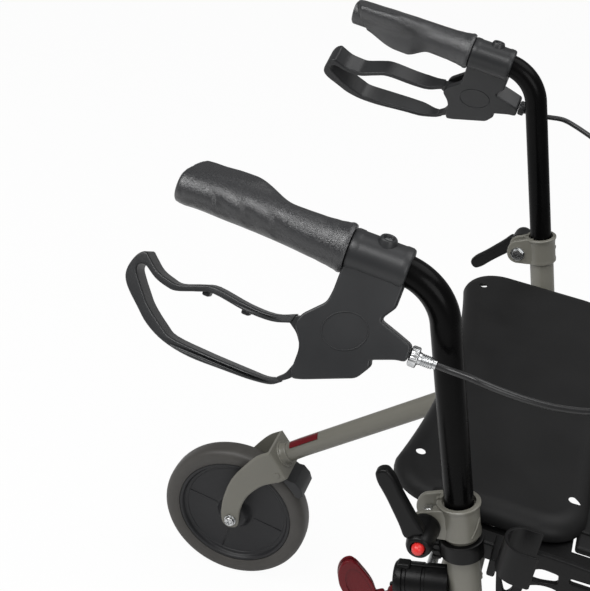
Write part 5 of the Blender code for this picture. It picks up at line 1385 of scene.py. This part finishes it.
def makeRack():
    ring = lathe(
        [
            (0.0129, -0.0435), (0.0158, -0.0435), (0.0167, -0.0427), (0.0169, -0.0415), (0.0169, -0.0300),
            (0.0166, -0.0286), (0.0158, -0.0280), (0.0129, -0.0280),
        ],
        postFrame, 56, ring=True,
    )
    lug = [block((-0.0075, 0.0148, -0.0470), (0.0075, 0.0212, -0.0280), 0.0022, 3)]
    for height in (-0.0450, -0.0395, -0.0340):
        lug.append(block((-0.0084, 0.0160, height), (0.0084, 0.0222, height + 0.0022), 0.0006, 1))
    pieces = [ring, moved(together(*lug), postFrame)]

    y = pivot.y - 0.0026
    low, high = 0.614, 0.6435
    clip = []
    for step in range(21):
        angle = math.radians(180 - 180 * step / 20)
        clip.append((0.0155 * math.cos(angle), 0.0155 * math.sin(angle)))
    clip += [(0.0153, -0.0100), (0.0140, -0.0114), (0.0128, -0.0098)]
    for step in range(19):
        angle = math.radians(180 * step / 18)
        clip.append((0.0129 * math.cos(angle), 0.0129 * math.sin(angle)))
    clip += [(-0.0128, -0.0098), (-0.0140, -0.0114), (-0.0153, -0.0100)]
    pieces.append(plate(clip, high - low, Matrix.Translation((rearLeg["x"], y, (low + high) / 2)), 0.0007, 2))
    pieces += [
        block((rearLeg["x"], y + 0.0134, low - 0.012), (post["x"] + 0.0025, y + 0.0194, low + 0.004), 0.0014),
        block((post["x"] - 0.0025, y + 0.0060, low - 0.026), (post["x"] + 0.0025, y + 0.0186, low + 0.003), 0.0011),
        block(
            (post["x"] - 0.0020, y + 0.0040, low - 0.020), (post["x"] + 0.0135, post["y"] - 0.0120, low - 0.0040),
            0.0024, 3,
        ),
    ]
    # a thin rail along under the seat's side, on two arms from the lattice
    for outer, inner, ahead, back, low in (
        (-0.2070, -0.1935, -0.1280, -0.0300, 0.5850), (-0.2262, -0.1935, -0.0390, -0.0120, 0.5848),
        (-0.2000, -0.1650, -0.0925, -0.0560, 0.5849),
        (post["x"], -0.2050, -0.0615, -0.0560, 0.5846), (post["x"], -0.2050, -0.0918, -0.0862, 0.5846),
    ):
        pieces.append(block((outer, post["y"] + ahead, low), (inner, post["y"] + back, low + 0.0039), 0.0008))
    openings = [rounded(opening, 0.0085, 4) for opening in rackOpenings]
    spot = sideOn(post["x"], post["y"], post["z"])
    pieces.append(flatCurve(rounded(rackOutline, 0.0070, 4), openings, 0.0050, spot, 0.0011))
    finishPiece("sideRack", together(*pieces), "rack", "front_frame", ["side_rack"])


# seat lock: a barrel behind the post, a bolt across it, and a red pull paddle hinged at its end
lock = {"drop": 0.0744, "face": 0.054, "pinBelow": 0.0185, "radius": 0.0142, "paddleTurn": math.radians(22.0)}
paddleOutline = (
    (0.0010, 0.0040), (0.0100, 0.0005), (0.0129, 0.0041), (0.0175, 0.0138), (0.0238, 0.0221), (0.0338, 0.0333),
    (0.0395, 0.0368), (0.0440, 0.0350), (0.0467, 0.0305), (0.0474, 0.0255), (0.0469, 0.0200), (0.0444, 0.0110),
    (0.0389, 0.0018), (0.0310, -0.0075), (0.0200, -0.0120), (0.0090, -0.0105), (-0.0010, -0.0040),
)


def makeLock():
    drop, face, radius = lock["drop"], lock["face"], lock["radius"]
    at = postFrame @ Matrix.Translation((0.0, 0.0, -drop))
    barrel = lathe(
        [
            (0.0, 0.0116), (radius, 0.0116), (radius, 0.0290), (radius - 0.0008, 0.0296), (radius - 0.0008, 0.0316),
            (radius, 0.0322), (radius, 0.0436), (radius - 0.0010, 0.0446), (radius - 0.0010, 0.0468),
            (radius + 0.0003, 0.0478), (radius + 0.0006, 0.0500), (radius + 0.0003, 0.0526), (radius - 0.0010, 0.0540),
            (0.0, 0.0540),
        ],
        at @ Matrix.Rotation(math.radians(-90), 4, "X"), 56,
    )
    top = radius + 0.0004
    pieces = [
        block((-0.0120, face - 0.0045, -0.0185), (0.0120, face, 0.0112), 0.0022, 3),
        block((-0.0045, face - 0.0130, top - 0.0040), (0.0045, face - 0.0025, top + 0.0024), 0.0020, 3),
        block((-0.0010, 0.0140, top - 0.0030), (0.0010, face - 0.0100, top + 0.0008), 0.0005, 1),
    ]
    low = -lock["pinBelow"] - 0.005
    for side in (-0.0125, 0.0085):
        pieces.append(block((side, face - 0.0020, low), (side + 0.0040, face + 0.0090, low + 0.0100), 0.0015, 3))
    finishPiece("lockHousing", together(barrel, moved(together(*pieces), at)), "rack", "front_frame", ["lock_housing"])

    pinPlace = Vector((0.0, face + 0.0055, -drop - lock["pinBelow"]))
    reach = Vector((0.0130, 0.0, 0.0))
    pin = moved(rod(pinPlace - reach, pinPlace + reach, 0.0020, 24, 0.0005), postFrame)
    finishPiece("lockPin", pin, "zinc", "front_frame", ["lock_pin"])
    bolt = rod(boltPlace, (-0.1850, boltPlace.y, boltPlace.z), 0.0040, 32, 0.0009)
    finishPiece("lockBolt", bolt, "zinc", "lock_bolt", ["lock_bolt"])

    centre = postFrame @ pinPlace
    turned = Matrix.Translation(centre) @ Matrix.Rotation(lock["paddleTurn"], 4, "Z") @ sideOn(0.0, 0.0, 0.0)
    edge = rounded(paddleOutline, 0.0040, 3)
    middle = Vector((0.0250, 0.0110))
    within = [tuple(middle + (Vector(spot) - middle) * 0.78) for spot in edge]
    leaf = together(plate(edge, 0.0046, turned, 0.0012, 2), flatCurve(edge, [within], 0.0072, turned, 0.0011))
    half = Vector((0.0080, 0.0, 0.0))
    knuckle = rod(centre - half, centre + half, 0.0045, 32, 0.0006)
    finishPiece("lockPaddle", together(leaf, knuckle), "paddle", "lock_lever", ["lock_lever"])


# basket: an open crate with slotted walls, standing on the front cross tube
basket = {
    "half": 0.200, "front": -0.325, "back": -0.160, "depth": 0.1924, "taper": 0.018, "corner": 0.034,
    "rows": ((0.026, 0.094), (0.106, 0.170)), "spacing": 0.030, "slot": 0.0065,
}


def makeBasket():
    front, back = post["y"] + basket["front"], post["y"] + basket["back"]
    half, corner = basket["half"], basket["corner"]
    bottom = (legFoot + legSlope * (0.030 / legSlope.y)).z + crossRadius + gap
    top = bottom + basket["depth"]
    outline = []
    for x, y, start in (
        (half - corner, front + corner, -90), (half - corner, back - corner, 0),
        (-half + corner, back - corner, 90), (-half + corner, front + corner, 180),
    ):
        for step in range(9):
            angle = math.radians(start + 11.25 * step)
            outline.append((x + corner * math.cos(angle), y + corner * math.sin(angle)))
    wall = top - bottom - 0.0100
    crate = stepped(
        outline, top - 0.0090, top - 0.0010,
        ((0.0012, 0.0010), (0.0034, 0.0), (0.0012, -0.0010), (0.0178, 0.0045 - wall), (0.0030, -0.0020)),
        (
            (0.0010, 0.0008), (0.0022, 0.0), (basket["taper"] - 0.0010, wall - 0.0048), (0.0010, 0.0022),
            (0.0028, 0.0020),
        ),
    )
    for along in ("x", "y", "z"):
        tools = []
        for low, high in basket["rows"]:
            columns = 11 if along != "x" else 4
            for index in range(columns):
                spot = (index - (columns - 1) / 2) * basket["spacing"]
                slot = basket["slot"]
                if along == "y":
                    ends = (spot - slot, front - 0.03, bottom + low), (spot + slot, back + 0.03, bottom + high)
                elif along == "x":
                    spot += (front + back) / 2
                    ends = (-half - 0.03, spot - slot, bottom + low), (half + 0.03, spot + slot, bottom + high)
                else:
                    middle = (front + back) / 2 + (0.031 if low > 0.1 else -0.031)
                    ends = (spot - slot, middle - 0.024, bottom - 0.01), (spot + slot, middle + 0.024, bottom + 0.02)
                tools.append(block(*ends, 0.0050, 3))
        crate = cutBy(crate, *tools)
    slope = legSlope.z / legSlope.y
    lugY = back - 0.020
    legTop = legFoot.z + slope * (lugY + 0.006 - legFoot.y) + post["radius"] * math.sqrt(1 + slope**2) + gap
    lugs = []
    for side in (-1, 1):
        inner, outer = sorted((side * (half - 0.008), side * (-post["x"] + 0.006)))
        lugs.append(block((inner, lugY - 0.012, legTop), (outer, lugY + 0.006, legTop + 0.006), 0.0016, 3))
    finishPiece("crate", together(crate, *lugs), "rack", "basket", ["basket"])


makeSeat()
makeRack()
makeLock()
makeBasket()
print("seat, rack, lock and basket made")
